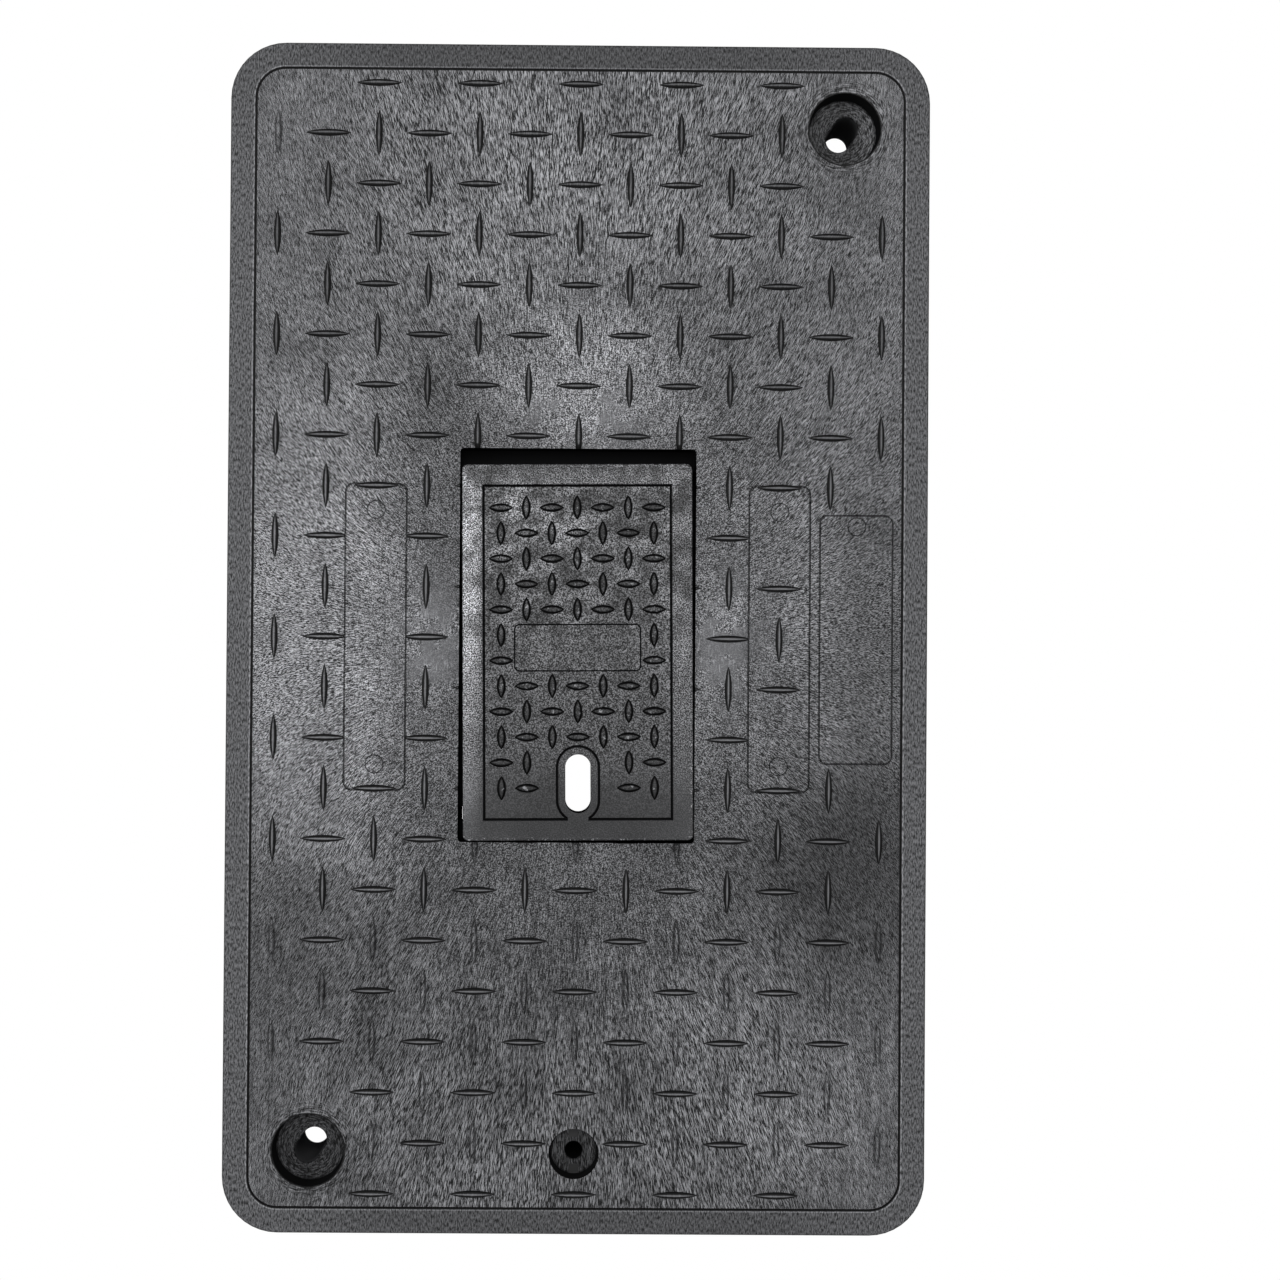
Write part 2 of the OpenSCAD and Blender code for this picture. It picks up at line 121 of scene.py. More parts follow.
# %% The lid's sizes
lid_side_gap, lid_end_gap = 1.4 * MM, 4.3 * MM
lid_w = opening_w - 2 * lid_side_gap
lid_l = opening_l - 2 * lid_end_gap
lid_t = 12.7 * MM
lid_top_z = deck_z - 0.5 * MM
lid_r = 3 * MM
lid_slid = (0.2 * lid_side_gap, opening_y - 0.78 * lid_end_gap)
lid_turn = math.asin(0.68 * lid_side_gap / (lid_l / 2))
border_w = 10.4 * MM
field_deep, lid_plate_t = 1.0 * MM, 6 * MM
lid_rim_w, lid_rib_t = 9 * MM, 4 * MM
slot_w, slot_l, slot_down = 12.8 * MM, 29.5 * MM, 66.2 * MM
collar_w, neck_w = 3.7 * MM, 10.8 * MM
lid_grid_y = 2.3 * MM
badge_w, badge_l, badge_r, badge_deep = 64.2 * MM, 24.1 * MM, 2.8 * MM, 0.5 * MM

# %% [markdown]
# ## The camera
# The photograph looks straight down from about a metre. The cover stands left of the middle of
# the picture while the lens stands over the cover, so the frame is shifted and hardly turned.

# %% Camera
def placed(name, data):
    """A new object in the scene."""
    made = bpy.data.objects.new(name, data)
    bpy.context.scene.collection.objects.link(made)
    return made


PHOTO = 1280
focal_px = 1905
middle_px = (577, 638)
camera_data = bpy.data.cameras.new("camera")
camera_data.sensor_width = 36
camera_data.lens = 36 * focal_px / PHOTO
camera_data.shift_x = (PHOTO / 2 - middle_px[0]) / PHOTO
camera_data.shift_y = (middle_px[1] - PHOTO / 2) / PHOTO
camera = placed("camera", camera_data)
camera.location = (-0.0056, -0.0087, 1.0093)
camera.rotation_euler = [math.radians(a) for a in (0.518, -0.332, 0.41)]
bpy.context.scene.camera = camera
bpy.context.scene.view_settings.view_transform = "Standard"

# %% [markdown]
# ## Floor and light
# The floor is plain and pale. What the camera sees of it is lifted to white by a Light Path
# node, so no extra light falls on the object. Broad lamps above and beside the cover give the
# soft, even light of a product photograph.

# %% Floor
def node(tree, kind, **values):
    """Add a node, and set its properties or inputs by name."""
    made = tree.nodes.new(kind)
    for key, value in values.items():
        if hasattr(made, key):
            setattr(made, key, value)
        else:
            made.inputs[key].default_value = value
    return made


def link(tree, *rows):
    """Join sockets. Each row is a node and its output, then a node and its input."""
    for giver, output, taker, socket in rows:
        tree.links.new(giver.outputs[output], taker.inputs[socket])


def plain_material(name):
    """A material whose tree is still empty."""
    made = bpy.data.materials.new(name)
    made.use_nodes = True
    made.node_tree.nodes.clear()
    return made, made.node_tree


floor_material, tree = plain_material("pale_floor")
out = node(tree, "ShaderNodeOutputMaterial")
diffuse = node(tree, "ShaderNodeBsdfDiffuse", Color=(0.86, 0.86, 0.86, 1))
glow = node(tree, "ShaderNodeEmission", Color=(1, 1, 1, 1), Strength=1.0)
mix = node(tree, "ShaderNodeMixShader")
path = node(tree, "ShaderNodeLightPath")
link(tree, (path, "Is Camera Ray", mix, 0), (diffuse, 0, mix, 1), (glow, 0, mix, 2))
link(tree, (mix, 0, out, "Surface"))

floor_mesh = bpy.data.meshes.new("floor")
floor_half = 4.0
floor_corners = [(-floor_half, -floor_half, 0), (floor_half, -floor_half, 0)]
floor_corners += [(floor_half, floor_half, 0), (-floor_half, floor_half, 0)]
floor_mesh.from_pydata(floor_corners, [], [(0, 1, 2, 3)])
floor_mesh.materials.append(floor_material)
floor = placed("floor", floor_mesh)

# %% Lamps and world
def softbox(name, place, aim, size, power):
    """A square area lamp at one place, facing another."""
    data = bpy.data.lights.new(name, "AREA")
    data.shape = "SQUARE"
    data.size = size
    data.energy = power
    lamp = placed(name, data)
    lamp.location = place
    lamp.rotation_euler = (Vector(aim) - Vector(place)).to_track_quat("-Z", "Y").to_euler()


softbox("overhead", (0.0, 0.5, 1.9), (0, 0.05, 0), 1.2, 17)
softbox("left_side", (-1.6, 0.2, 1.0), (0, 0, 0), 0.9, 10)
softbox("right_side", (1.6, 0.2, 1.0), (0, 0, 0), 0.9, 5)
softbox("front_fill", (0.0, -1.7, 0.9), (0, 0, 0), 0.9, 4)

world = bpy.data.worlds.new("studio")
bpy.context.scene.world = world
world.use_nodes = True
tree = world.node_tree
tree.nodes.clear()
out = node(tree, "ShaderNodeOutputWorld")
room = node(tree, "ShaderNodeBackground", Color=(1, 1, 1, 1), Strength=0.18)
backdrop = node(tree, "ShaderNodeBackground", Color=(1, 1, 1, 1), Strength=1.0)
mix = node(tree, "ShaderNodeMixShader")
path = node(tree, "ShaderNodeLightPath")
link(tree, (path, "Is Camera Ray", mix, 0), (room, 0, mix, 1), (backdrop, 0, mix, 2))
link(tree, (mix, 0, out, "Surface"))

# %% [markdown]
# ## Shared finishes
# Several materials need the same effects, so each effect is a node group with named inputs.
# All of them work on coordinates in metres, so that a grain has its real size on every piece.

# %% Helpers for node trees
VALUE, VECTOR = "NodeSocketFloat", "NodeSocketVector"
COUNT, PAINT, GEOMETRY = "NodeSocketInt", "NodeSocketMaterial", "NodeSocketGeometry"


def add_sockets(tree, side, rows):
    """Add inputs or outputs to a tree, some with a default. Returns each one's identifier."""
    ids = {}
    for label, kind, *default in rows:
        made = tree.interface.new_socket(label, in_out=side, socket_type=kind)
        for value in default:
            made.default_value = value
        ids[label] = made.identifier
    return ids


class Sums:
    """Helpers for one node tree that keep the sums below short to read."""

    def __init__(self, tree):
        self.tree = tree

    def put(self, value, socket):
        if isinstance(value, bpy.types.NodeSocket):
            self.tree.links.new(value, socket)
        else:
            socket.default_value = value

    def add(self, kind, *values, **settings):
        """Add a node with these values in its first inputs."""
        made = node(self.tree, kind, **settings)
        for socket, value in zip(made.inputs, values):
            self.put(value, socket)
        return made

    def math(self, operation, *values, clamp=False):
        return self.add("ShaderNodeMath", *values, operation=operation, use_clamp=clamp).outputs[0]

    def times(self, a, b):
        return self.math("MULTIPLY", a, b)

    def plus(self, a, b):
        return self.math("ADD", a, b)

    def minus(self, a, b, clamp=False):
        return self.math("SUBTRACT", a, b, clamp=clamp)

    def over(self, a, b):
        return self.math("DIVIDE", a, b)

    def most(self, a, b):
        return self.math("MAXIMUM", a, b)

    def vector(self, operation, *values):
        made = self.add("ShaderNodeVectorMath", *values, operation=operation)
        return made.outputs["Value" if operation == "LENGTH" else "Vector"]

    def split(self, vector):
        return self.add("ShaderNodeSeparateXYZ", vector).outputs

    def join(self, x, y, z):
        return self.add("ShaderNodeCombineXYZ", x, y, z).outputs[0]

    def noise(self, vector, scale, detail=2.0, roughness=0.5, colour=False):
        values = {"Scale": scale, "Detail": detail, "Roughness": roughness}
        made = self.add("ShaderNodeTexNoise", vector, **values)
        return made.outputs["Color" if colour else "Fac"]

    def ramp(self, value, low, high, to_low=0.0, to_high=1.0):
        values = (value, low, high, to_low, to_high)
        return self.add("ShaderNodeMapRange", *values, interpolation_type="SMOOTHSTEP").outputs[0]


class Group(Sums):
    """A shader node group with named inputs and outputs."""

    def __init__(self, name, inputs, outputs):
        super().__init__(bpy.data.node_groups.new(name, "ShaderNodeTree"))
        add_sockets(self.tree, "INPUT", inputs)
        add_sockets(self.tree, "OUTPUT", outputs)
        self.start = self.tree.nodes.new("NodeGroupInput")
        self.end = self.tree.nodes.new("NodeGroupOutput")

    def input(self, label):
        return self.start.outputs[label]

    def from_centre(self):
        return self.vector("SUBTRACT", self.input("Vector"), self.input("Centre"))

    def give(self, label, value):
        self.put(value, self.end.inputs[label])


# Inputs that several groups share
SPOT, CENTRE = ("Vector", VECTOR), ("Centre", VECTOR, (0, 0, 0))

# %% [markdown]
# ### Radial grain
# Plastic is shot into the mould near its middle, and as it flows outwards it draws its filler
# into short light flecks that all point away from the gate. A noise stretched along the radius
# gives them. Its pattern has to widen with the distance, so the group mixes rings, each made
# for twice the radius of the one before. Towards the long sides the flow turns along the wall,
# which a bend of the coordinates gives.

# %% Radial grain group
grain_rings, grain_first, grain_side = 4, 54 * MM, 160 * MM

g = Group(
    "radial_grain",
    [SPOT, ("Width", VALUE, 0.3 * MM), ("Length", VALUE, 3.8 * MM), ("Sway", VALUE, 10 * MM)],
    [("Fleck", VALUE)],
)
wander = g.noise(g.input("Vector"), 16.0, 2.0, colour=True)
wander = g.vector("SUBTRACT", wander, (0.5, 0.5, 0.5))
wander = g.vector("MULTIPLY", wander, g.join(g.input("Sway"), g.input("Sway"), 0.0))
swayed = g.vector("ADD", g.input("Vector"), wander)
across, up_deck, _ = g.split(swayed)
turned_out = g.math("POWER", g.over(g.math("ABSOLUTE", across), grain_side), 4.0)
flat = g.join(g.times(across, g.plus(1.0, g.times(turned_out, 0.5))), up_deck, 0.0)
radius = g.vector("LENGTH", flat)
heading = g.split(g.vector("NORMALIZE", flat))
octave = g.math("LOGARITHM", g.over(g.most(radius, grain_first), grain_first), 2.0)
along = g.over(radius, g.input("Length"))
total, power = 0.0, 0.0
for ring in range(grain_rings):
    near = g.minus(1.0, g.math("ABSOLUTE", g.minus(octave, float(ring))), clamp=True)
    reach = g.over(grain_first * 2 ** ring, g.input("Width"))
    spot = g.join(g.times(heading[0], reach), g.times(heading[1], reach), along)
    level = g.minus(g.noise(spot, 1.0, 2.0, 0.65), 0.5)
    total = g.plus(total, g.times(level, near))
    power = g.plus(power, g.times(near, near))
even = g.over(total, g.math("SQRT", g.most(power, 0.25)))
g.give("Fleck", g.math("MULTIPLY_ADD", even, 2.0, 0.5, clamp=True))
radial_grain = g.tree

# %% [markdown]
# ### Ring grain
# Round a well the flow closes behind the core that makes the hole, so there the flecks run in
# circles. The same trick serves: this time the noise is stretched along the circle.

# %% Ring grain group
ring_share, ring_step = 5.5, 0.6 * MM
g = Group("ring_grain", [SPOT, CENTRE], [("Fleck", VALUE), ("Radius", VALUE)])
away = g.vector("MULTIPLY", g.from_centre(), (1, 1, 0))
ring_r = g.vector("LENGTH", away)
heading = g.split(g.vector("NORMALIZE", away))
circled = [g.times(share, ring_share) for share in heading[:2]]
spot = g.join(*circled, g.over(ring_r, ring_step))
g.give("Fleck", g.noise(spot, 1.0, 1.0, 0.6))
g.give("Radius", ring_r)
ring_grain = g.tree

# %% [markdown]
# ### Distance from an edge
# Chips, the groove and the plain rim all depend on how far a point lies inside the outline.
# The distance to a rectangle with round corners is a short formula, so it needs no map.

# %% Edge distance group
g = Group(
    "edge_distance",
    [SPOT, CENTRE, ("Half Size", VECTOR, (1, 1, 0)), ("Corner", VALUE, 0.0)],
    [("Inside", VALUE)],
)
corner = g.input("Corner")
away = g.vector("ABSOLUTE", g.from_centre())
square = g.vector("SUBTRACT", g.input("Half Size"), g.join(corner, corner, 0.0))
px, py, _ = g.split(g.vector("SUBTRACT", away, square))
outside = g.vector("LENGTH", g.join(g.most(px, 0.0), g.most(py, 0.0), 0.0))
within = g.math("MINIMUM", g.most(px, py), 0.0)
g.give("Inside", g.minus(corner, g.plus(outside, within)))
edge_distance = g.tree

# %% [markdown]
# ### Soft patches
# Broad patches, lighter or darker than the rest and without an edge, vary the tone; two on the
# lid are painted highlights along its borders. A patch is an oval that fades out, with its
# border pushed about by a slow noise.

# %% Soft patch group
g = Group(
    "soft_patch",
    [SPOT, CENTRE, ("Half Size", VECTOR, (1, 1, 1)), ("Push", VALUE, 0.0)],
    [("Mask", VALUE)],
)
scaled = g.vector("DIVIDE", g.from_centre(), g.input("Half Size"))
reach = g.plus(g.vector("LENGTH", g.vector("MULTIPLY", scaled, (1, 1, 0))), g.input("Push"))
g.give("Mask", g.ramp(reach, 0.15, 1.15, 1.0, 0.0))
soft_patch = g.tree

# %% [markdown]
# ### Speckle
# Small chips lie scattered along an edge. Two scales of noise, cut high, leave only their
# peaks, and those are the chips.

# %% Speckle group
g = Group(
    "speckle",
    [SPOT, ("Size", VALUE, 0.6 * MM), ("Amount", VALUE, 0.4)],
    [("Mask", VALUE)],
)
chip = g.join(*[g.input("Size")] * 3)
fine = g.noise(g.vector("DIVIDE", g.input("Vector"), chip), 1.0, 1.0, 0.6)
broad = g.noise(g.input("Vector"), 220.0, 2.0, 0.5)
blend = g.plus(g.times(fine, 0.7), g.times(broad, 0.3))
floor_level = g.minus(0.72, g.times(g.input("Amount"), 0.3))
g.give("Mask", g.ramp(blend, floor_level, g.plus(floor_level, 0.14)))
speckle = g.tree

# %% [markdown]
# ## Materials
# Each material keeps its own Principled shader. A small helper gives it the same sums as the
# groups have, so that the look of each reads from top to bottom.

# %% Material builder
class Finish(Sums):
    """A material with the same helpers, whose tree ends in one Principled shader."""

    def __init__(self, name, **plain):
        self.material, tree = plain_material(name)
        super().__init__(tree)
        self.shader = tree.nodes.new("ShaderNodeBsdfPrincipled")
        link(tree, (self.shader, 0, tree.nodes.new("ShaderNodeOutputMaterial"), "Surface"))
        for key, value in plain.items():
            self.shader.inputs[key.replace("_", " ")].default_value = value
        self.place = self.tree.nodes.new("ShaderNodeTexCoord").outputs["Object"]

    def use(self, group, output, **values):
        made = self.add("ShaderNodeGroup", node_tree=group)
        for key, value in {"Vector": self.place, **values}.items():
            self.put(value, made.inputs[key.replace("_", " ")])
        return made.outputs[output]

    def patched(self, level, patches, ragged):
        """Add each patch's gain to a level. One slow noise pushes all their borders about."""
        push = self.times(self.minus(self.noise(self.place, 34.0, 3.0), 0.5), ragged)
        for *oval, gain in patches:
            level = self.plus(level, self.times(self.patch(*oval, push), gain))
        return level

    def patch(self, px, py, wide, tall, push=0.0):
        """One oval: its centre and its half sizes, in millimetres."""
        centre, half = (px * MM, py * MM, 0), (wide * MM, tall * MM, 1)
        return self.use(soft_patch, "Mask", Centre=centre, Half_Size=half, Push=push)

    def sand(self, size, detail=2.0, roughness=0.65):
        """Noise whose grains have one size on every axis."""
        spot = self.vector("DIVIDE", self.place, (size, size, size))
        return self.noise(spot, 1.0, detail, roughness)

    def fibre(self, stretch, detail=2.0):
        """Noise with its own number of cells in a metre along each axis."""
        return self.noise(self.vector("MULTIPLY", self.place, stretch), 1.0, detail, 0.6)

    def mix(self, share, low, high):
        """Low where the share is nothing and high where it is one."""
        step = self.minus(high, low)
        return self.plus(low, self.times(step, share))

    def step(self, value, level, low, high, to_low=0.0, to_high=1.0):
        """A ramp between two borders, which are given in millimetres from one level."""
        return self.ramp(value, level + low * MM, level + high * MM, to_low, to_high)

    def band(self, value, level, start, full, ebb, end):
        """One between full and ebb, and nothing before start or past end."""
        risen = self.step(value, level, start, full)
        return self.times(risen, self.step(value, level, ebb, end, 1.0, 0.0))

    def upright(self, smooth):
        """How far a face looks up, as built or as shaded."""
        made = self.add("ShaderNodeNewGeometry")
        return self.split(made.outputs["Normal" if smooth else "True Normal"])[2]

    def beneath(self, level):
        """The level on faces that look down, and nothing elsewhere."""
        return self.ramp(self.upright(False), -0.9, -0.5, level, 0.0)

    def grey(self, level, tint=(0.985, 0.995, 1.045)):
        shares = [self.times(level, share) for share in tint]
        return self.add("ShaderNodeCombineColor", *shares).outputs[0]

    def bump(self, height, strength, depth):
        made = self.add("ShaderNodeBump", Strength=strength, Distance=depth)
        self.put(height, made.inputs["Height"])
        self.put(made.outputs[0], self.shader.inputs["Normal"])

    def look(self, level, roughness):
        self.put(self.grey(level), self.shader.inputs["Base Color"])
        self.put(roughness, self.shader.inputs["Roughness"])


# %% [markdown]
# ### Moulded plastic
# The deck carries the radial grain, the patches and the rubbed places. The rim outside the
# groove is smoother and more even, with a painted highlight along the groove. Walls and whatever
# lies deep in the moulding were never walked on, so they stay nearly black, and they are painted
# darker still as shade. The groove, the fine lines, the floors and mouths of the wells and the
# bars' flanks carry painted shade too, and the bars' crests a painted highlight.

# %% Moulded plastic of the deck
# Each patch: centre x and y, half sizes in x and y, all in millimetres, and its gain in light
deck_patches = (
    (5, 128, 68, 48, 0.11),
    (-128, 5, 62, 150, 0.14),
    (-15, 205, 105, 90, 0.05),
    (92, 10, 62, 110, 0.055),
    (-72, -2, 17, 34, 0.08),
    (73, -2, 16, 34, 0.08),
    (101, 0, 20, 90, -0.015),
    (150, 10, 36, 70, -0.028),
    (145, -120, 75, 80, -0.06),
    (-150, -140, 60, 90, -0.03),
    (-60, -195, 120, 60, -0.012),
    (100, -225, 80, 75, 0.038),
)
# Places rubbed smooth round the lid: centre x and y, half sizes in x and y
rubbed_places = ((-73, -2, 26, 50), (74, -2, 26, 50), (2, 110, 46, 26))
# Tones: of recesses, painted darker than the plastic as shade, of outer walls, and in the middle of
# the deck, the rim and the lid
RECESS_SHADE, WALL, deck_tone, rim_tone, lid_tone = 0.008, 0.022, 0.108, 0.078, 0.076


def deck_plastic(name, kind):
    """The cover's plastic: on the bare deck, on a bar that stands out or on a faint one."""
    f = Finish(name, IOR=1.46)
    x, y, z = f.split(f.place)
    inside = f.use(edge_distance, "Inside", Half_Size=(cover_w / 2, cover_l / 2, 0), Corner=corner_r)
    # Broad tone: patches, clouds, and streaks near the foot
    level = f.patched(f.plus(deck_tone, f.times(y, 0.035)), deck_patches, 0.45)
    clouds = f.noise(f.place, 30.0, 3.0, 0.6)
    level = f.times(level, f.ramp(clouds, 0.3, 0.7, 0.8, 1.2))
    streaks = f.minus(f.fibre((300, 24, 1), 3.0), 0.5)
    streaked = f.times(streaks, f.ramp(y, -0.17, -0.10, 1.3, 0.0))
    level = f.times(level, f.plus(1.0, streaked))
    # Grain: radial flecks, circles round the wells, and sand near the middle
    fleck = f.use(radial_grain, "Fleck")
    well_near, from_well = 0.0, 1.0
    for sign in (1, -1):
        centre = (sign * well_at[0], sign * well_at[1], 0)
        rings = f.use(ring_grain, "Fleck", Centre=centre)
        radius = f.use(ring_grain, "Radius", Centre=centre)
        near = f.step(radius, well_r, 1, 11, 0.65, 0.0)
        fleck = f.mix(near, fleck, rings)
        well_near = f.most(well_near, near)
        from_well = f.math("MINIMUM", from_well, radius)
    sand = f.sand(0.6 * MM)
    from_middle = f.vector("LENGTH", f.vector("MULTIPLY", f.place, (1.5, 1, 0)))
    sandy = f.ramp(from_middle, 0.10, 0.25, 0.85, 0.2)
    sandy = f.times(sandy, f.minus(1.0, f.times(well_near, 0.6)))
    grain = f.mix(sandy, fleck, sand)
    lit = f.math("POWER", f.ramp(grain, 0.34, 0.68), 1.9)
    contrast = f.plus(0.06, f.times(lit, 3.35))
    # Rubbed places: less grain, and fine scratches
    rubbed = 0.0
    for oval in rubbed_places:
        rubbed = f.most(rubbed, f.patch(*oval))
    smear = f.times(rubbed, f.ramp(f.noise(f.place, 70.0, 2.0), 0.47, 0.57, 0.0, 0.8))
    scratches = f.ramp(f.fibre((900, 120, 1)), 0.56, 0.72)
    level = f.times(level, f.mix(smear, contrast, 0.9))
    level = f.plus(level, f.times(f.times(scratches, rubbed), 0.17))
    # The rim: finely grained, with a painted highlight as a bright line just outside the groove
    fine = f.fibre((1600, 480, 1))
    rim_level = f.plus(rim_tone, f.times(f.ramp(f.math("ABSOLUTE", x), 0.08, 0.17), 0.028))
    rim_level = f.times(rim_level, f.ramp(fine, 0.3, 0.7, 0.15, 2.1))
    rim_level = f.times(rim_level, f.ramp(y, 0.22, 0.29, 1.0, 0.86))
    groove_edge_highlight = f.band(inside, groove_inset, -1.0, -0.6, -0.25, 0)
    rim_level = f.times(rim_level, f.plus(1.0, f.times(groove_edge_highlight, 1.1)))
    level = f.mix(f.ramp(inside, groove_inset, groove_inset + groove_w, 1.0, 0.0), level, rim_level)
    if kind == "bar":
        # Painted shade and highlight: the flanks are painted near black by how far they face up, and a
        # painted highlight runs along the crest, stronger towards the foot
        core = f.plus(0.012, f.times(level, 0.17))
        level = f.mix(f.ramp(f.upright(True), 0.92, 0.985), 0.004, core)
        crest = f.ramp(f.upright(True), 0.972, 0.998)
        level = f.plus(level, f.times(crest, f.ramp(y, 0.04, 0.14, 0.17, 0.085)))
        shown = f.step(z, deck_z, -1.0, -0.1)
    elif kind == "faint":
        # Painted shade: the flanks of a faint bar are painted darker by how far they face up, less
        # than on other bars
        level = f.times(level, f.ramp(f.upright(True), 0.90, 0.99, 0.4, 1.0))
        shown = f.step(z, deck_z, -1.0, -0.1)
    else:
        # Painted shade: faces from 0.5 to 1.6 mm below the deck are darkened, the groove's floor
        # nearly to black and the fine lines less
        line = f.band(z, deck_z, -2.4, -1.6, -0.5, -0.15)
        ring = f.band(inside, groove_inset, -0.3, 0, 1.0, 1.4)
        level = f.times(level, f.mix(line, 1.0, f.mix(ring, 0.4, 0.02)))
        # Painted shade on the floors of the wells and the pull hole, faint only on the outer side of
        # the right well
        well_floor_shade = f.mix(f.ramp(x, 0.135, 0.15), 0.42, 0.95)
        level = f.times(level, f.mix(f.step(z, deck_z, -4, -2), well_floor_shade, 1.0))
        # Painted shadow: a thin near-black ring round the mouth of each well
        mouth = f.band(from_well, well_r, -0.3, 0, 0.4, 0.9)
        level = f.times(level, f.mix(mouth, 1.0, 0.06))
        shown = f.times(f.ramp(f.upright(False), 0.5, 0.95), f.step(z, deck_z, -12.2, -11.6))
    # Hidden places: walls, the slots' sides and whatever faces down. Inner walls and recesses are
    # black plastic painted darker still as shade; outer walls and faces that look down keep the
    # plastic's own tone.
    outer = f.step(inside, 0, 19, 20, 1.0, 0.0)
    by_slot = f.step(from_well, 0, 11, 12, 1.0, 0.0)
    slot_wall = f.times(by_slot, f.step(z, deck_z, -12, -11, 1.0, 0.0))
    hidden_black_and_shade = f.most(f.mix(outer, RECESS_SHADE, WALL), f.times(slot_wall, 0.07))
    hidden_black_and_shade = f.most(hidden_black_and_shade, f.beneath(WALL))
    f.put(f.mix(shown, f.times(outer, 0.4), 0.24), f.shader.inputs["Specular IOR Level"])
    f.look(f.mix(shown, hidden_black_and_shade, level), f.ramp(grain, 0.3, 0.75, 0.62, 0.5))
    f.bump(f.plus(grain, f.times(clouds, 0.5)), 0.3, 0.1 * MM)
    return f.material


deck_material = deck_plastic("moulded_deck", "deck")
bar_material = deck_plastic("tread_bars", "bar")
faint_material = deck_plastic("faint_bars", "faint")

# %% [markdown]
# ### Hidden plastic
# The ribs of both pieces and the rings round the bolt cups keep the satin that the mould gave
# them, with a faint flow grain.

# %% Plain black plastic
f = Finish("plain_plastic", Specular_IOR_Level=0.5)
clouds = f.noise(f.place, 40.0, 3.0, 0.6)
grain = f.fibre((900, 900, 300))
f.look(f.ramp(clouds, 0.3, 0.7, 0.016, 0.03), f.ramp(grain, 0.3, 0.7, 0.42, 0.55))
f.bump(grain, 0.2, 0.05 * MM)
rib_plastic = f.material

# %% [markdown]
# ### Cast lid
# The lid is coarser: a sandy skin with pale grit, a painted highlight along its left border and a
# fainter one along its right, smooth and nearly black at its foot, and chipped pale along its
# edges. Its sides are painted near black as shade.

# %% Cast lid material
# Each patch: centre x and y, half sizes in x and y, all in millimetres, and its gain in light
lid_patches = (
    # The first patch is a painted highlight along the left border, the fourth a fainter one along the
    # right
    (-56, 2, 11, 115, 0.165),
    (-14, 84, 36, 12, -0.03),
    (-25, 58, 42, 30, 0.05),
    (53, -20, 9, 65, 0.05),
    (0, -88, 75, 32, -0.031),
)


def cast_lid(name, bars):
    """The lid's skin. On its tread bars the flanks are painted black as shade and the crest carries a
    few painted glints.
    """
    f = Finish(name)
    x, y, z = f.split(f.place)
    # Broad tone: patches and blotches
    level = f.patched(f.plus(lid_tone, f.times(y, 0.13)), lid_patches, 0.9)
    blotches = f.noise(f.place, 80.0, 2.0, 0.6)
    blotched = f.ramp(y, -0.06, 0.05)
    level = f.times(level, f.mix(blotched, 1.0, f.ramp(blotches, 0.35, 0.68, 0.45, 1.8)))
    # Sandy grain, which fades towards the smooth foot
    smooth = f.step(y, 0, -92, -45, 1.0, 0.0)
    sand = f.sand(0.62 * MM)
    lit = f.math("POWER", f.ramp(sand, 0.37, 0.63), 1.9)
    contrast = f.plus(0.04, f.times(lit, 3.4))
    level = f.times(level, f.mix(f.times(smooth, 0.72), contrast, 1.05))
    # Chips along the outer edge
    inside = f.use(edge_distance, "Inside", Centre=(*lid_slid, 0),
                   Half_Size=(lid_w / 2, lid_l / 2, 0), Corner=lid_r)
    chips = f.use(speckle, "Mask", Size=0.8 * MM, Amount=0.55)
    chipped = f.times(f.step(inside, 0, 0.2, 2.2, 1.0, 0.0), chips)
    level = f.plus(level, f.times(chipped, 0.5))
    if bars:
        # Painted shade and highlight: the flanks are painted near black by how far they face up, and
        # painted glints are scattered on the crest
        core = f.plus(0.008, f.times(level, 0.46))
        crown = f.ramp(f.upright(True), 0.925, 0.997)
        level = f.mix(crown, 0.002, core)
        glints = f.ramp(f.sand(1.6 * MM, 1.0, 0.5), 0.62, 0.72)
        crest = f.step(z, lid_top_z, -0.05, 0.2)
        level = f.plus(level, f.times(f.times(glints, crest), 0.3))
        shown = f.step(z, lid_top_z, -1.3, -1.0)
        gloss = f.ramp(crown, 0.0, 1.0, 0.06, 0.35)
    else:
        line = f.step(z, lid_top_z - field_deep, -0.5, -0.1)
        shown = f.times(f.ramp(f.upright(False), 0.5, 0.95), line)
        gloss = 0.35
    f.put(f.times(shown, gloss), f.shader.inputs["Specular IOR Level"])
    # Painted shade: the lid's sides, the slot's walls and the groove round the field are painted near
    # black, darker than the lid itself
    hidden_black_and_shade = f.most(RECESS_SHADE, f.beneath(0.03))
    f.look(f.mix(shown, hidden_black_and_shade, level), f.ramp(sand, 0.3, 0.7, 0.6, 0.42))
    f.bump(f.times(sand, f.minus(1.0, f.times(smooth, 0.8))), 0.6, 0.25 * MM)
    return f.material


lid_material = cast_lid("cast_lid", bars=False)
lid_bar_material = cast_lid("lid_bars", bars=True)

# %% [markdown]
# ## Modelling with rings
# A moulding like this has the same section all along its outline, so it is quickest to write
# as a stack of rings: each ring is the outline a little further in or further down, and the
# faces between two rings are a wall, a floor or a rounding. Flat faces with holes in them are
# filled at the end between the rings that border them.

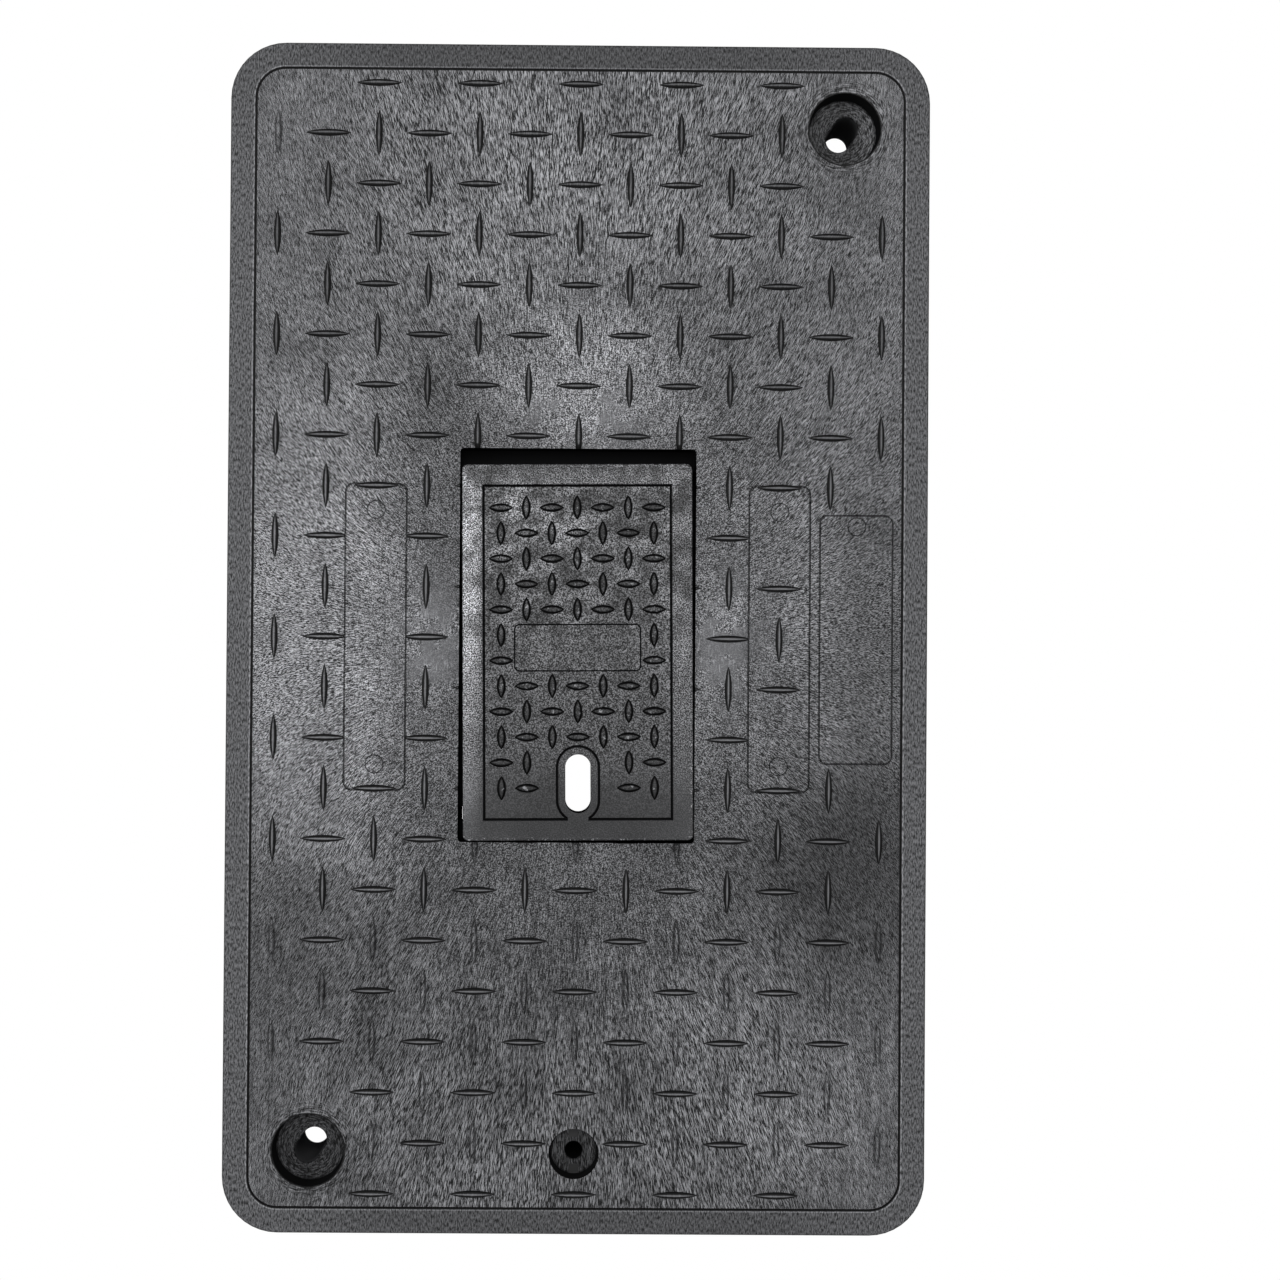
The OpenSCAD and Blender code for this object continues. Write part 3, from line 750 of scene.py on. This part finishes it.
# %% Ring helpers
def rounded_ring(w, l, r, inset=0.0, least_r=0.0, centre=(0.0, 0.0), steps=6):
    """Points anticlockwise along a rectangle with round corners, drawn in by a distance."""
    w, l, r = w - 2 * inset, l - 2 * inset, max(r - inset, least_r)
    points = []
    for quarter, (sx, sy) in enumerate(((1, 1), (-1, 1), (-1, -1), (1, -1))):
        cx = centre[0] + sx * (w / 2 - r)
        cy = centre[1] + sy * (l / 2 - r)
        for n in range(steps + 1):
            a = math.radians(90 * (quarter + n / steps))
            points.append((cx + r * math.cos(a), cy + r * math.sin(a)))
    return points


def slot_ring(r, centre, half=0.0, turn=0.0, steps=48):
    """Points along a circle, or along a slot with round ends where half isn't nothing."""
    points = []
    for n in range(steps):
        a = 2 * math.pi * (n + 0.5) / steps
        x = r * math.cos(a) + math.copysign(half, math.cos(a))
        y = r * math.sin(a)
        points.append((centre[0] + x * math.cos(turn) - y * math.sin(turn),
                       centre[1] + x * math.sin(turn) + y * math.cos(turn)))
    return points


def rounding(radius, steps=3):
    """How far in and how far down a rounded edge lies at each of its steps, from the wall up."""
    angles = [math.pi / 2 * n / steps for n in range(steps + 1)]
    return [(radius * (1 - math.cos(a)), radius * (1 - math.sin(a))) for a in angles]


def lip(r, z):
    """The soft edge of a hole, from its mouth down: how wide and how high each step lies."""
    return [(r + soft - i, z - d) for i, d in reversed(rounding(soft))]


def stack(bm, rings, closed=False):
    """Join rings of equal length, given as points and a height. Returns all their vertices."""
    made = [[bm.verts.new((x, y, z)) for x, y in points] for points, z in rings]
    pairs = list(zip(made, made[1:]))
    if closed:
        pairs.append((made[-1], made[0]))
    for low, high in pairs:
        count = len(low)
        for i in range(count):
            j = (i + 1) % count
            bm.faces.new((low[i], low[j], high[j], high[i]))
    return made


def fine_line(bm, ring, turns, z, deep):
    """A line pressed into a flat face. The ring is a function of how far it is drawn in."""
    sections = [(ring(inset * MM), z - down * deep) for inset, down in zip(turns, (0, 1, 1, 0))]
    return stack(bm, sections)


def fill(bm, *loops):
    """Fill the flat face between an outer loop and the holes in it."""
    edges = []
    for loop in loops:
        for a, b in zip(loop, loop[1:] + loop[:1]):
            edges.append(bm.edges.get((a, b)) or bm.edges.new((a, b)))
    bmesh.ops.triangle_fill(bm, edges=edges, use_beauty=True, normal=(0, 0, 1))


def to_object(bm, name, materials, sharp=40):
    """Turn a bmesh into an object with even shading and faces that point outwards."""
    bmesh.ops.recalc_face_normals(bm, faces=bm.faces)
    mesh = bpy.data.meshes.new(name)
    bm.to_mesh(mesh)
    bm.free()
    for material in materials:
        mesh.materials.append(material)
    for face in mesh.polygons:
        face.use_smooth = True
    mesh.set_sharp_from_angle(angle=math.radians(sharp))
    return placed(name, mesh)


def made_plain(piece):
    """Replace a piece's mesh by its evaluated one, and drop its modifiers."""
    bpy.context.view_layer.update()
    graph = bpy.context.evaluated_depsgraph_get()
    final = piece.evaluated_get(graph)
    mesh = bpy.data.meshes.new_from_object(final, preserve_all_data_layers=True, depsgraph=graph)
    mesh.name = piece.name
    piece.modifiers.clear()
    piece.data = mesh
    return piece


def cut(piece, knife, sharp=40):
    """Take a knife out of a piece, then remove the knife."""
    trim = piece.modifiers.new("trim", "BOOLEAN")
    trim.operation = "DIFFERENCE"
    trim.solver = "EXACT"
    trim.object = knife
    made_plain(piece)
    bpy.data.objects.remove(knife)
    piece.data.set_sharp_from_angle(angle=math.radians(sharp))
    return piece


def block(bm, x0, x1, y0, y1, z0, z1):
    """A closed box between two corners."""
    low, high = stack(bm, [([(x0, y0), (x1, y0), (x1, y1), (x0, y1)], z) for z in (z0, z1)])
    bm.faces.new(low)
    bm.faces.new(high)


def weighted(piece):
    """Let the large flat faces rule the shading beside a small rounding."""
    modifier = piece.modifiers.new("even shading", "WEIGHTED_NORMAL")
    modifier.keep_sharp = True
    modifier.weight = 80
    return made_plain(piece)


# %% [markdown]
# ## The cover's body
# One closed shell: the rim and skirt are one stack round the outline, the opening is a second
# stack, and each well and the pull hole are stacks from their mouth down through the sleeve
# below. The deck and its lower face are then filled in between.

# %% Stack round the outline
body = bmesh.new()


def outline(inset, z):
    return rounded_ring(cover_w, cover_l, corner_r, inset, least_corner_r, steps=10), z


skirt_in = flange_reach + skirt_t
flange_z = deck_z - flange_t
rim_path = [(skirt_in, plate_z), (skirt_in, soft), (skirt_in - soft, 0.0)]
rim_path += [(flange_reach + soft, 0.0), (flange_reach, soft), (flange_reach, flange_z)]
rim_path += [(soft, flange_z), (0.0, flange_z + soft)]
rim_path += [(inward, deck_z - down) for inward, down in rounding(rim_round)]
rim_path += [(groove_inset - groove_lip, deck_z), (groove_inset, deck_z - groove_lip)]
groove_end, groove_z = groove_inset + groove_w, deck_z - groove_deep
rim_path += [(groove_inset + groove_slope, groove_z), (groove_end - groove_slope, groove_z)]
rim_path += [(groove_end, deck_z - groove_lip), (groove_end + groove_lip, deck_z)]
rim = stack(body, [outline(inset, z) for inset, z in rim_path])

# %% Stack round the opening
def opening_outline(outset, z):
    return rounded_ring(opening_w, opening_l, opening_r, -outset, opening_r, (0, opening_y)), z


ledge_z = lid_top_z - lid_t
ledge_low = ledge_z - ledge_t
opening_path = lip(0.0, deck_z) + [(0.0, ledge_z), (-ledge_w, ledge_z)]
opening_path += [(-ledge_w, ledge_low), (0.0, ledge_low)]
opening_path += [(0.0, rib_lift), (frame_t, rib_lift), (frame_t, plate_z)]
opening = stack(body, [opening_outline(outset, z) for outset, z in opening_path])

# %% Stacks of the wells and the pull hole
bolt_half, bolt_r = (bolt_slot_l - bolt_slot_w) / 2, bolt_slot_w / 2
cup_r = 21.5 * MM


def well_stack(centre):
    floor_z = deck_z - well_deep
    cup_z = floor_z - well_floor_t
    foot_r, sleeve_r = well_r - well_draft, bolt_r + sleeve_t
    path = [(r, 0.0, z) for r, z in lip(well_r, deck_z)]
    path += [(foot_r, 0.0, floor_z + soft), (foot_r - soft, 0.0, floor_z)]
    path += [(bolt_r + soft, bolt_half, floor_z), (bolt_r, bolt_half, floor_z - soft)]
    path += [(bolt_r, bolt_half, 0.0), (sleeve_r, bolt_half, 0.0)]
    path += [(sleeve_r, bolt_half, cup_z), (cup_r, 0.0, cup_z), (cup_r, 0.0, plate_z)]
    return stack(body, [(slot_ring(r, centre, half, bolt_slot_turn), z) for r, half, z in path])


wells = [well_stack(well_at), well_stack((-well_at[0], -well_at[1]))]

pull_floor_z = deck_z - pull_deep
pull_cup_z = pull_floor_z - pull_wall
pull_foot_r, pull_sleeve_r = pull_well_r - pull_draft, pull_r + pull_sleeve_t
pull_path = lip(pull_well_r, deck_z)
pull_path += [(pull_foot_r, pull_floor_z + soft), (pull_foot_r - soft, pull_floor_z)]
pull_path += [(pull_r + soft, pull_floor_z), (pull_r, pull_floor_z - soft), (pull_r, 0.0)]
pull_path += [(pull_sleeve_r, 0.0), (pull_sleeve_r, pull_cup_z)]
pull_path += [(pull_well_r + pull_wall, pull_cup_z), (pull_well_r + pull_wall, plate_z)]
pull = stack(body, [(slot_ring(r, pull_at), z) for r, z in pull_path])

# %% [markdown]
# ### Bare plates
# Three plates are kept free of most bars. Fine lines run round them, and a few round mould
# marks lie on them. A line is a ring that dips below the deck and comes up again.

# %% Fine lines
marks = [(sx * mark_x, sy * (tall_half - mark_in)) for sx in (-1, 1) for sy in (-1, 1)]
marks.append((lone_mark_x, tall_half - lone_mark_in))


def plate_line(plate):
    x0, x1, half, _ = plate
    size, centre = (x1 - x0, 2 * half, plate_r), ((x0 + x1) / 2, 0)

    def ring(inset):
        return rounded_ring(*size, inset, centre=centre, steps=5)

    return fine_line(body, ring, plate_turns, deck_z, line_deep)


def mark_line(centre):
    def ring(inset):
        return slot_ring(mark_r - inset, centre, steps=24)

    return fine_line(body, ring, mark_turns, deck_z, line_deep)


plate_lines = [plate_line(p) for p in plates]
mark_lines = [mark_line(m) for m in marks]
holes = [opening[0], pull[0]] + [w[0] for w in wells] + [line[0] for line in plate_lines]
fill(body, rim[-1], *holes)
for plate, line in zip(plates, plate_lines):
    on_plate = [m for m, at in zip(mark_lines, marks) if plate[0] < at[0] < plate[1]]
    fill(body, line[-1], *[m[0] for m in on_plate])
for m in mark_lines:
    fill(body, m[-1])
fill(body, rim[0], opening[-1], pull[-1], *[w[-1] for w in wells])
cover_body = to_object(body, "cover_body", [deck_material])

# %% Drain notches in the ledge
notch_w, notch_l, notch_in = 5 * MM, 7 * MM, 10 * MM
notches = bmesh.new()
for sx in (-1, 1):
    for sy in (-1, 1):
        x0, x1 = sorted((sx * (opening_w / 2 - notch_w), sx * opening_w / 2))
        y0 = opening_y + sy * (opening_l / 2 - notch_in - notch_l / 2)
        block(notches, x0, x1, y0 - notch_l / 2, y0 + notch_l / 2, ledge_low - MM, ledge_z + MM)
weighted(cut(cover_body, to_object(notches, "notches", [])))
print("cover body", len(cover_body.data.polygons), "faces")

# %% [markdown]
# ## Ribs below the deck
# Ribs repeat at an even step, which is work for Geometry Nodes: a line of points, a bar on
# each, and the whole made real. One tree serves every run of ribs, with its own numbers.

# %% Geometry Nodes helpers
def geometry_tree(name, inputs):
    """A new tree with named inputs. Returns it with their identifiers."""
    tree = bpy.data.node_groups.new(name, "GeometryNodeTree")
    tree.is_modifier = True
    ids = add_sockets(tree, "INPUT", [("Geometry", GEOMETRY), *inputs])
    add_sockets(tree, "OUTPUT", [("Geometry", GEOMETRY)])
    return tree, ids


def grown(name, tree, ids, values, points=(), turned=()):
    """Run a tree on a set of points, and give back its result as a plain object."""
    mesh = bpy.data.meshes.new(name)
    mesh.from_pydata(list(points), [], [])
    if turned:
        quarter = mesh.attributes.new("turned", "FLOAT", "POINT")
        quarter.data.foreach_set("value", [float(t) for t in turned])
    piece = placed(name, mesh)
    modifier = piece.modifiers.new(tree.name, "NODES")
    modifier.node_group = tree
    for label, value in values.items():
        modifier[ids[label]] = value
    return made_plain(piece)


def joined(name, parts):
    """Several pieces as one."""
    bm = bmesh.new()
    for part in parts:
        bm.from_mesh(part.data)
    made = parts[0]
    bm.to_mesh(made.data)
    bm.free()
    for part in parts[1:]:
        bpy.data.objects.remove(part)
    made.name = name
    made.data.name = name
    return made


# %% The rib tree
rib_tree, rib_ids = geometry_tree("rib_run", [
    ("Count", COUNT, 3),
    ("First", VECTOR, (0, 0, 0)),
    ("Step", VECTOR, (0, 0, 0)),
    ("Size", VECTOR, (1, 1, 1)),
    ("Material", PAINT),
])
start, end = node(rib_tree, "NodeGroupInput"), node(rib_tree, "NodeGroupOutput")
line = node(rib_tree, "GeometryNodeMeshLine")
bar = node(rib_tree, "GeometryNodeMeshCube")
place = node(rib_tree, "GeometryNodeInstanceOnPoints")
real = node(rib_tree, "GeometryNodeRealizeInstances")
paint = node(rib_tree, "GeometryNodeSetMaterial")
link(
    rib_tree,
    (start, "Count", line, "Count"),
    (start, "First", line, "Start Location"),
    (start, "Step", line, "Offset"),
    (start, "Size", bar, "Size"),
    (line, "Mesh", place, "Points"),
    (bar, "Mesh", place, "Instance"),
    (place, "Instances", real, "Geometry"),
    (real, "Geometry", paint, "Geometry"),
    (start, "Material", paint, "Material"),
    (paint, "Geometry", end, "Geometry"),
)

# %% Runs of ribs
inner_w = cover_w - 2 * skirt_in
inner_l = cover_l - 2 * skirt_in
bite = 2 * MM
rib_top = plate_z + bite
# Faces that share a plane flicker, so each kind of rib is a hair shorter than what it crosses
hair = 0.05 * MM
frame_lo = opening_y - opening_l / 2 - frame_t
frame_hi = opening_y + opening_l / 2 + frame_t
frame_out = opening_w / 2 + frame_t
end_y = inner_l / 2


def ribs(count, first, step, size, low, top):
    """A run of ribs from the middle of the first, standing between two heights."""
    values = {"Count": count, "First": (*first, (low + top) / 2), "Step": (*step, 0)}
    values.update({"Size": (*size, top - low), "Material": rib_plastic})
    return grown("ribs", rib_tree, rib_ids, values)


def long_ribs(x, y0, y1, thick, twin=True):
    """Ribs along Y at one distance from the middle, on both sides of it or alone."""
    count = 2 if twin else 1
    first = (-x if twin else x, (y0 + y1) / 2)
    return ribs(count, first, (2 * x, 0), (thick, y1 - y0), rib_lift + hair, rib_top)


def cross_ribs(x0, x1, first_y, step, count, thick=rib_t):
    """Ribs along X, the first at one place along Y and the rest a step apart."""
    first = ((x0 + x1) / 2, first_y)
    return ribs(count, first, (0, step), (x1 - x0, thick), rib_lift + 2 * hair, rib_top)


skirt_x, skirt_y = inner_w / 2 + bite, inner_l / 2 + bite
top_step = (end_y - frame_hi) / (end_rib_n + 1)
low_step = (-end_y - frame_lo) / (end_rib_n + 1)
side_step = (frame_hi - frame_lo) / (side_rib_n + 1)
wall_x = (opening_w + frame_t) / 2
hook = pull_r + pull_sleeve_t / 2
runs = [
    long_ribs(outer_rib_x, -skirt_y, skirt_y, rib_t),
    long_ribs(wall_x, frame_hi - bite, skirt_y, frame_t - 2 * hair),
    long_ribs(wall_x, -skirt_y, frame_lo + bite, frame_t - 2 * hair),
    long_ribs(0, frame_hi - bite, skirt_y, rib_t, twin=False),
    long_ribs(0, pull_at[1] + hook, frame_lo + bite, rib_t, twin=False),
    long_ribs(0, -skirt_y, pull_at[1] - hook, rib_t, twin=False),
    cross_ribs(-skirt_x, skirt_x, frame_hi + top_step, top_step, end_rib_n),
    cross_ribs(-skirt_x, skirt_x, frame_lo + low_step, low_step, end_rib_n),
]
for side in (-1, 1):
    x0, x1 = sorted((side * (frame_out - bite), side * skirt_x))
    runs.append(cross_ribs(x0, x1, frame_lo + side_step, side_step, side_rib_n))
    end_gap = frame_hi - frame_lo - frame_t
    runs.append(cross_ribs(x0, x1, frame_lo + frame_t / 2, end_gap, 2, frame_t - 2 * hair))
cover_ribs = joined("cover_ribs", runs)
print("ribs", len(cover_ribs.data.polygons) // 6)

# %% Rings that thicken the bolt cups
collars = bmesh.new()
for sign in (1, -1):
    centre = (sign * well_at[0], sign * well_at[1])
    cup_z = deck_z - well_deep - well_floor_t + hair
    section = [(cup_r - bite / 2, cup_z), (well_r + well_wall, cup_z)]
    section += [(well_r + well_wall, plate_z + bite), (cup_r - bite / 2, plate_z + bite)]
    stack(collars, [(slot_ring(r, centre), z) for r, z in section], closed=True)
cup_collars = to_object(collars, "cup_collars", [rib_plastic])

# %% [markdown]
# ## Tread bars
# The tread is a square grid of lens-shaped bars, each turned by a quarter from its neighbours.
# A bar is a sphere squeezed to a spindle and half sunk in the deck. The grid leaves out the
# wells and the plates, so the points are chosen in Python and Geometry Nodes grow the bars.

# %% The tread tree
tread_tree, tread_ids = geometry_tree("tread_bars", [
    ("Length", VALUE, bar_l),
    ("Width", VALUE, bar_w),
    ("Height", VALUE, tread_rise),
    ("Segments", COUNT, 12),
    ("Rings", COUNT, 10),
    ("Material", PAINT),
])
g = Sums(tread_tree)
start, end = node(tread_tree, "NodeGroupInput"), node(tread_tree, "NodeGroupOutput")
ball = node(tread_tree, "GeometryNodeMeshUVSphere")
lay = node(tread_tree, "GeometryNodeTransform", Rotation=(0, math.pi / 2, 0))
x, y, z = g.split(node(tread_tree, "GeometryNodeInputPosition").outputs[0])
taper = g.math("POWER", g.most(g.minus(1.0, g.times(x, x)), 0.0), 0.3)
long = g.times(x, g.times(start.outputs["Length"], 0.5))
wide = g.times(g.times(y, taper), g.times(start.outputs["Width"], 0.5))
shape = g.join(long, wide, g.times(g.times(z, taper), start.outputs["Height"]))
squeeze = node(tread_tree, "GeometryNodeSetPosition")
turn_by = node(tread_tree, "GeometryNodeInputNamedAttribute", data_type="FLOAT", Name="turned")
turning = g.join(0.0, 0.0, g.times(turn_by.outputs[0], math.pi / 2))
g.put(shape, squeeze.inputs["Position"])
place = node(tread_tree, "GeometryNodeInstanceOnPoints")
g.put(turning, place.inputs["Rotation"])
real = node(tread_tree, "GeometryNodeRealizeInstances")
smooth_it = node(tread_tree, "GeometryNodeSetShadeSmooth")
paint = node(tread_tree, "GeometryNodeSetMaterial")
link(
    tread_tree,
    (start, "Segments", ball, "Segments"),
    (start, "Rings", ball, "Rings"),
    (ball, "Mesh", lay, "Geometry"),
    (lay, "Geometry", squeeze, "Geometry"),
    (start, "Geometry", place, "Points"),
    (squeeze, "Geometry", place, "Instance"),
    (place, "Instances", real, "Geometry"),
    (real, "Geometry", smooth_it, "Geometry"),
    (smooth_it, "Geometry", paint, "Geometry"),
    (start, "Material", paint, "Material"),
    (paint, "Geometry", end, "Geometry"),
)

# %% Where the deck has bars
field_in = groove_inset + groove_w + MM
field_half = (cover_w / 2 - field_in, cover_l / 2 - field_in)
opening_half = (opening_w / 2, opening_l / 2)


def apart(x, y, hx, hy, spot):
    """Distance from a point to a bar, given by its half lengths along X and Y."""
    return math.hypot(max(abs(spot[0] - x) - hx, 0), max(abs(spot[1] - y) - hy, 0))


def bar_at(i, j):
    """A bar's place and half lengths, in column i and row j from the middle."""
    across = (i + j) % 2 != 0
    half = (bar_l / 2, bar_w / 2) if across else (bar_w / 2, bar_l / 2)
    return i * pitch, j * pitch, *half, across


def bar_kept(i, j):
    """Whether the grid has a bar here: on the field, and off wells, opening and plates."""
    x, y, hx, hy, _ = bar_at(i, j)
    in_field = abs(x) + hx < field_half[0] and abs(y) + hy < field_half[1]
    from_wells = [apart(x, y, hx, hy, (s * well_at[0], s * well_at[1])) for s in (1, -1)]
    clear = min(from_wells) > well_r + well_margin
    clear = clear and apart(x, y, hx, hy, pull_at) > pull_well_r + pull_margin
    in_opening = abs(x) + hx < opening_half[0] and abs(y - opening_y) + hy < opening_half[1]
    between = x > plates[1][1] and j == 0
    barred = any(p[0] < x < p[1] and abs(y) < p[2] and j not in p[3] for p in plates)
    return in_field and clear and not in_opening and not between and not barred


def bar_cut(i, j):
    """Whether a bar runs over the opening's edge, or onto a plate from beside it."""
    x, y, hx, hy, across = bar_at(i, j)
    over_opening = abs(x) - hx < opening_half[0] and abs(y - opening_y) - hy < opening_half[1]
    onto = False
    for n, p in enumerate(plates):
        beside = not p[0] < x < p[1] and abs(y) < p[2] and x + hx > p[0] and x - hx < p[1]
        onto = onto or (across and beside and not (n == 1 and x > p[1]))
    return over_opening or onto


half_cols, half_rows = int(cover_w / 2 / pitch), int(cover_l / 2 / pitch)
cols, rows = range(-half_cols, half_cols + 1), range(-half_rows, half_rows + 1)
spots = [(i, j) for i in cols for j in rows if bar_kept(i, j)]


def bar_faint(i, j):
    """The bars along Y that look nearly level, near the foot, in one corner and at the opening's lower
    end: their flanks take only a light painted shade.
    """
    x, y, _, _, across = bar_at(i, j)
    foot = y < faint_foot_y
    corner = i == -half_cols and j == max(row for col, row in spots if col == i)
    by_opening = abs(x) < opening_half[0] and bar_cut(i, j) and y < opening_y
    return not across and (foot or corner or by_opening)


def deck_bars(name, chosen, material):
    points = [(i * pitch, j * pitch, deck_z) for i, j in chosen]
    turned = [(i + j) % 2 == 0 for i, j in chosen]
    values = {"Length": bar_l, "Width": bar_w + bar_foot, "Height": tread_rise}
    values["Material"] = material
    return grown(name, tread_tree, tread_ids, values, points, turned)


def bar_knife():
    """The room of the opening and of the plates that bars may not reach into."""
    bm = bmesh.new()
    z0, z1 = deck_z - knife_reach, deck_z + knife_reach
    y0, y1 = opening_y - opening_half[1], opening_y + opening_half[1]
    block(bm, -opening_half[0], opening_half[0], y0, y1, z0, z1)
    block(bm, plates[0][0], plates[0][1], -knife_half, knife_half, z0, z1)
    block(bm, plates[1][0], knife_right, -knife_half, knife_half, z0, z1)
    block(bm, plates[2][0], plates[2][1], -outer_half, outer_half, z0, z1)
    return to_object(bm, "knife", [])


def bar_group(name, chosen, material):
    """Grow the chosen bars, and cut those that meet the opening or a plate.

    The knife has no material of its own, so its faces take the one of the bars at the end."""
    whole = deck_bars(name, [s for s in chosen if not bar_cut(*s)], material)
    partly = deck_bars(name, [s for s in chosen if bar_cut(*s)], material)
    bars = joined(name, [whole, cut(partly, bar_knife(), 180)])
    bars.data.materials.clear()
    bars.data.materials.append(material)
    return bars


cover_treads = bar_group("cover_treads", [s for s in spots if not bar_faint(*s)], bar_material)
faint_treads = bar_group("faint_treads", [s for s in spots if bar_faint(*s)], faint_material)
print("deck bars", len(spots), "of them faint", len([s for s in spots if bar_faint(*s)]))

# %% [markdown]
# ## The lid
# The lid is built in its own middle and then slid and turned into the place where it lies in
# the opening. Its tread field is a loop that runs round the collar of the finger slot, so the
# loop is written as a function of how far it is drawn in.

# %% The lid's shell
slot_centre = (0.0, -slot_down)
slot_half = (slot_l - slot_w) / 2
collar_r = slot_w / 2 + collar_w
field_w, field_l = lid_w - 2 * border_w, lid_l - 2 * border_w


def field_loop(inset):
    """The field's outline anticlockwise, drawn in by a distance."""
    a, b = field_w / 2 - inset, field_l / 2 - inset
    neck, r = neck_w / 2 + inset, collar_r + inset
    low_y, high_y = slot_centre[1] - slot_half, slot_centre[1] + slot_half
    join = math.asin(neck / r)
    points = [(a, -b), (a, b), (-a, b), (-a, -b), (-neck, -b)]
    lower, upper = 10, 16
    for n in range(lower + 1):
        angle = math.radians(270) - join - n / lower * (math.pi / 2 - join)
        points.append((r * math.cos(angle), low_y + r * math.sin(angle)))
    for n in range(upper + 1):
        angle = math.pi * (1 - n / upper)
        points.append((r * math.cos(angle), high_y + r * math.sin(angle)))
    for n in range(lower + 1):
        angle = -n / lower * (math.pi / 2 - join)
        points.append((r * math.cos(angle), low_y + r * math.sin(angle)))
    points.append((neck, -b))
    return points


lid = bmesh.new()
lid_base_z = lid_top_z - lid_t
lid_plate_z = lid_top_z - field_deep - lid_plate_t
lid_field_z = lid_top_z - field_deep
lid_round, hollow_r, moat_deep = 0.8 * MM, 0.8 * MM, 0.8 * MM
lid_path = [(lid_rim_w, lid_plate_z), (lid_rim_w, lid_base_z)]
lid_path += [(soft, lid_base_z), (0.0, lid_base_z + soft)]
lid_path += [(inward, lid_top_z - down) for inward, down in rounding(lid_round)]
shell = stack(lid, [(rounded_ring(lid_w, lid_l, lid_r, i, hollow_r), z) for i, z in lid_path])
# The border drops to the field with a chamfer, and a fine groove runs along its foot
field_path = [(-0.3 * MM, lid_top_z), (0.0, lid_top_z - 0.3 * MM)]
field_path += [(0.15 * MM, lid_field_z - moat_deep), (0.85 * MM, lid_field_z - moat_deep)]
field_path += [(1.1 * MM, lid_field_z)]
field = stack(lid, [(field_loop(i), z) for i, z in field_path])
slot_path = lip(slot_w / 2, lid_top_z)
slot_path += [(slot_w / 2, lid_base_z), (collar_r, lid_base_z), (collar_r, lid_plate_z)]
slot = stack(lid, [(slot_ring(r, slot_centre, slot_half, math.pi / 2), z) for r, z in slot_path])


def badge_ring(inset):
    return rounded_ring(badge_w, badge_l, badge_r, inset, centre=(0, lid_grid_y), steps=5)


badge = fine_line(lid, badge_ring, badge_turns, lid_field_z, badge_deep)
fill(lid, shell[-1], field[0], slot[0])
fill(lid, field[-1], badge[0])
fill(lid, badge[-1])
fill(lid, shell[0], slot[-1])
lid_body = weighted(to_object(lid, "lid_body", [lid_material]))

# %% The lid's tread and its ribs
lid_points, lid_turned = [], []
for i in range(-lid_half_cols, lid_half_cols + 1):
    for j in range(-lid_half_rows, lid_half_rows):
        x, y = i * lid_pitch, (j + 0.5) * lid_pitch
        on_badge = abs(x) < badge_w / 2 + badge_margin and abs(y) < badge_l / 2
        by_slot = abs(x) < lid_slot_half and y < lid_pitch - slot_down
        if not on_badge and not by_slot:
            lid_points.append((x, y + lid_grid_y, lid_field_z))
            lid_turned.append((i + j) % 2 != 0)
lid_values = {"Length": lid_bar_l, "Width": lid_bar_w, "Height": lid_bar_rise}
lid_values["Material"] = lid_bar_material
lid_treads = grown("lid_treads", tread_tree, tread_ids, lid_values, lid_points, lid_turned)

hollow_w, hollow_l = lid_w - 2 * lid_rim_w, lid_l - 2 * lid_rim_w
lid_rib_top = lid_plate_z + bite / 4
lid_long = (lid_rib_t, hollow_l + bite)
lid_cross = (hollow_w + bite, lid_rib_t)
lid_ribs = joined("lid_ribs", [
    ribs(2, (-hollow_w / 6, 0), (hollow_w / 3, 0), lid_long, lid_base_z + hair, lid_rib_top),
    ribs(3, (0, -hollow_l / 4), (0, hollow_l / 4), lid_cross, lid_base_z + 2 * hair, lid_rib_top),
])

# %% Slide and turn the lid into place
seat = Matrix.Translation((lid_slid[0], lid_slid[1], 0)) @ Matrix.Rotation(lid_turn, 4, "Z")
for piece in (lid_body, lid_treads, lid_ribs):
    piece.data.transform(seat)

# %% [markdown]
# ## The one body
# Every piece rides on the one body and stands for its solid, which is hidden.

# %% Ride and replace
for piece in (cover_body, cover_ribs, cup_collars, cover_treads, faint_treads):
    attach(piece, "root")
    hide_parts("cover")
for piece in (lid_body, lid_treads, lid_ribs):
    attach(piece, "root")
    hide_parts("reader_lid")
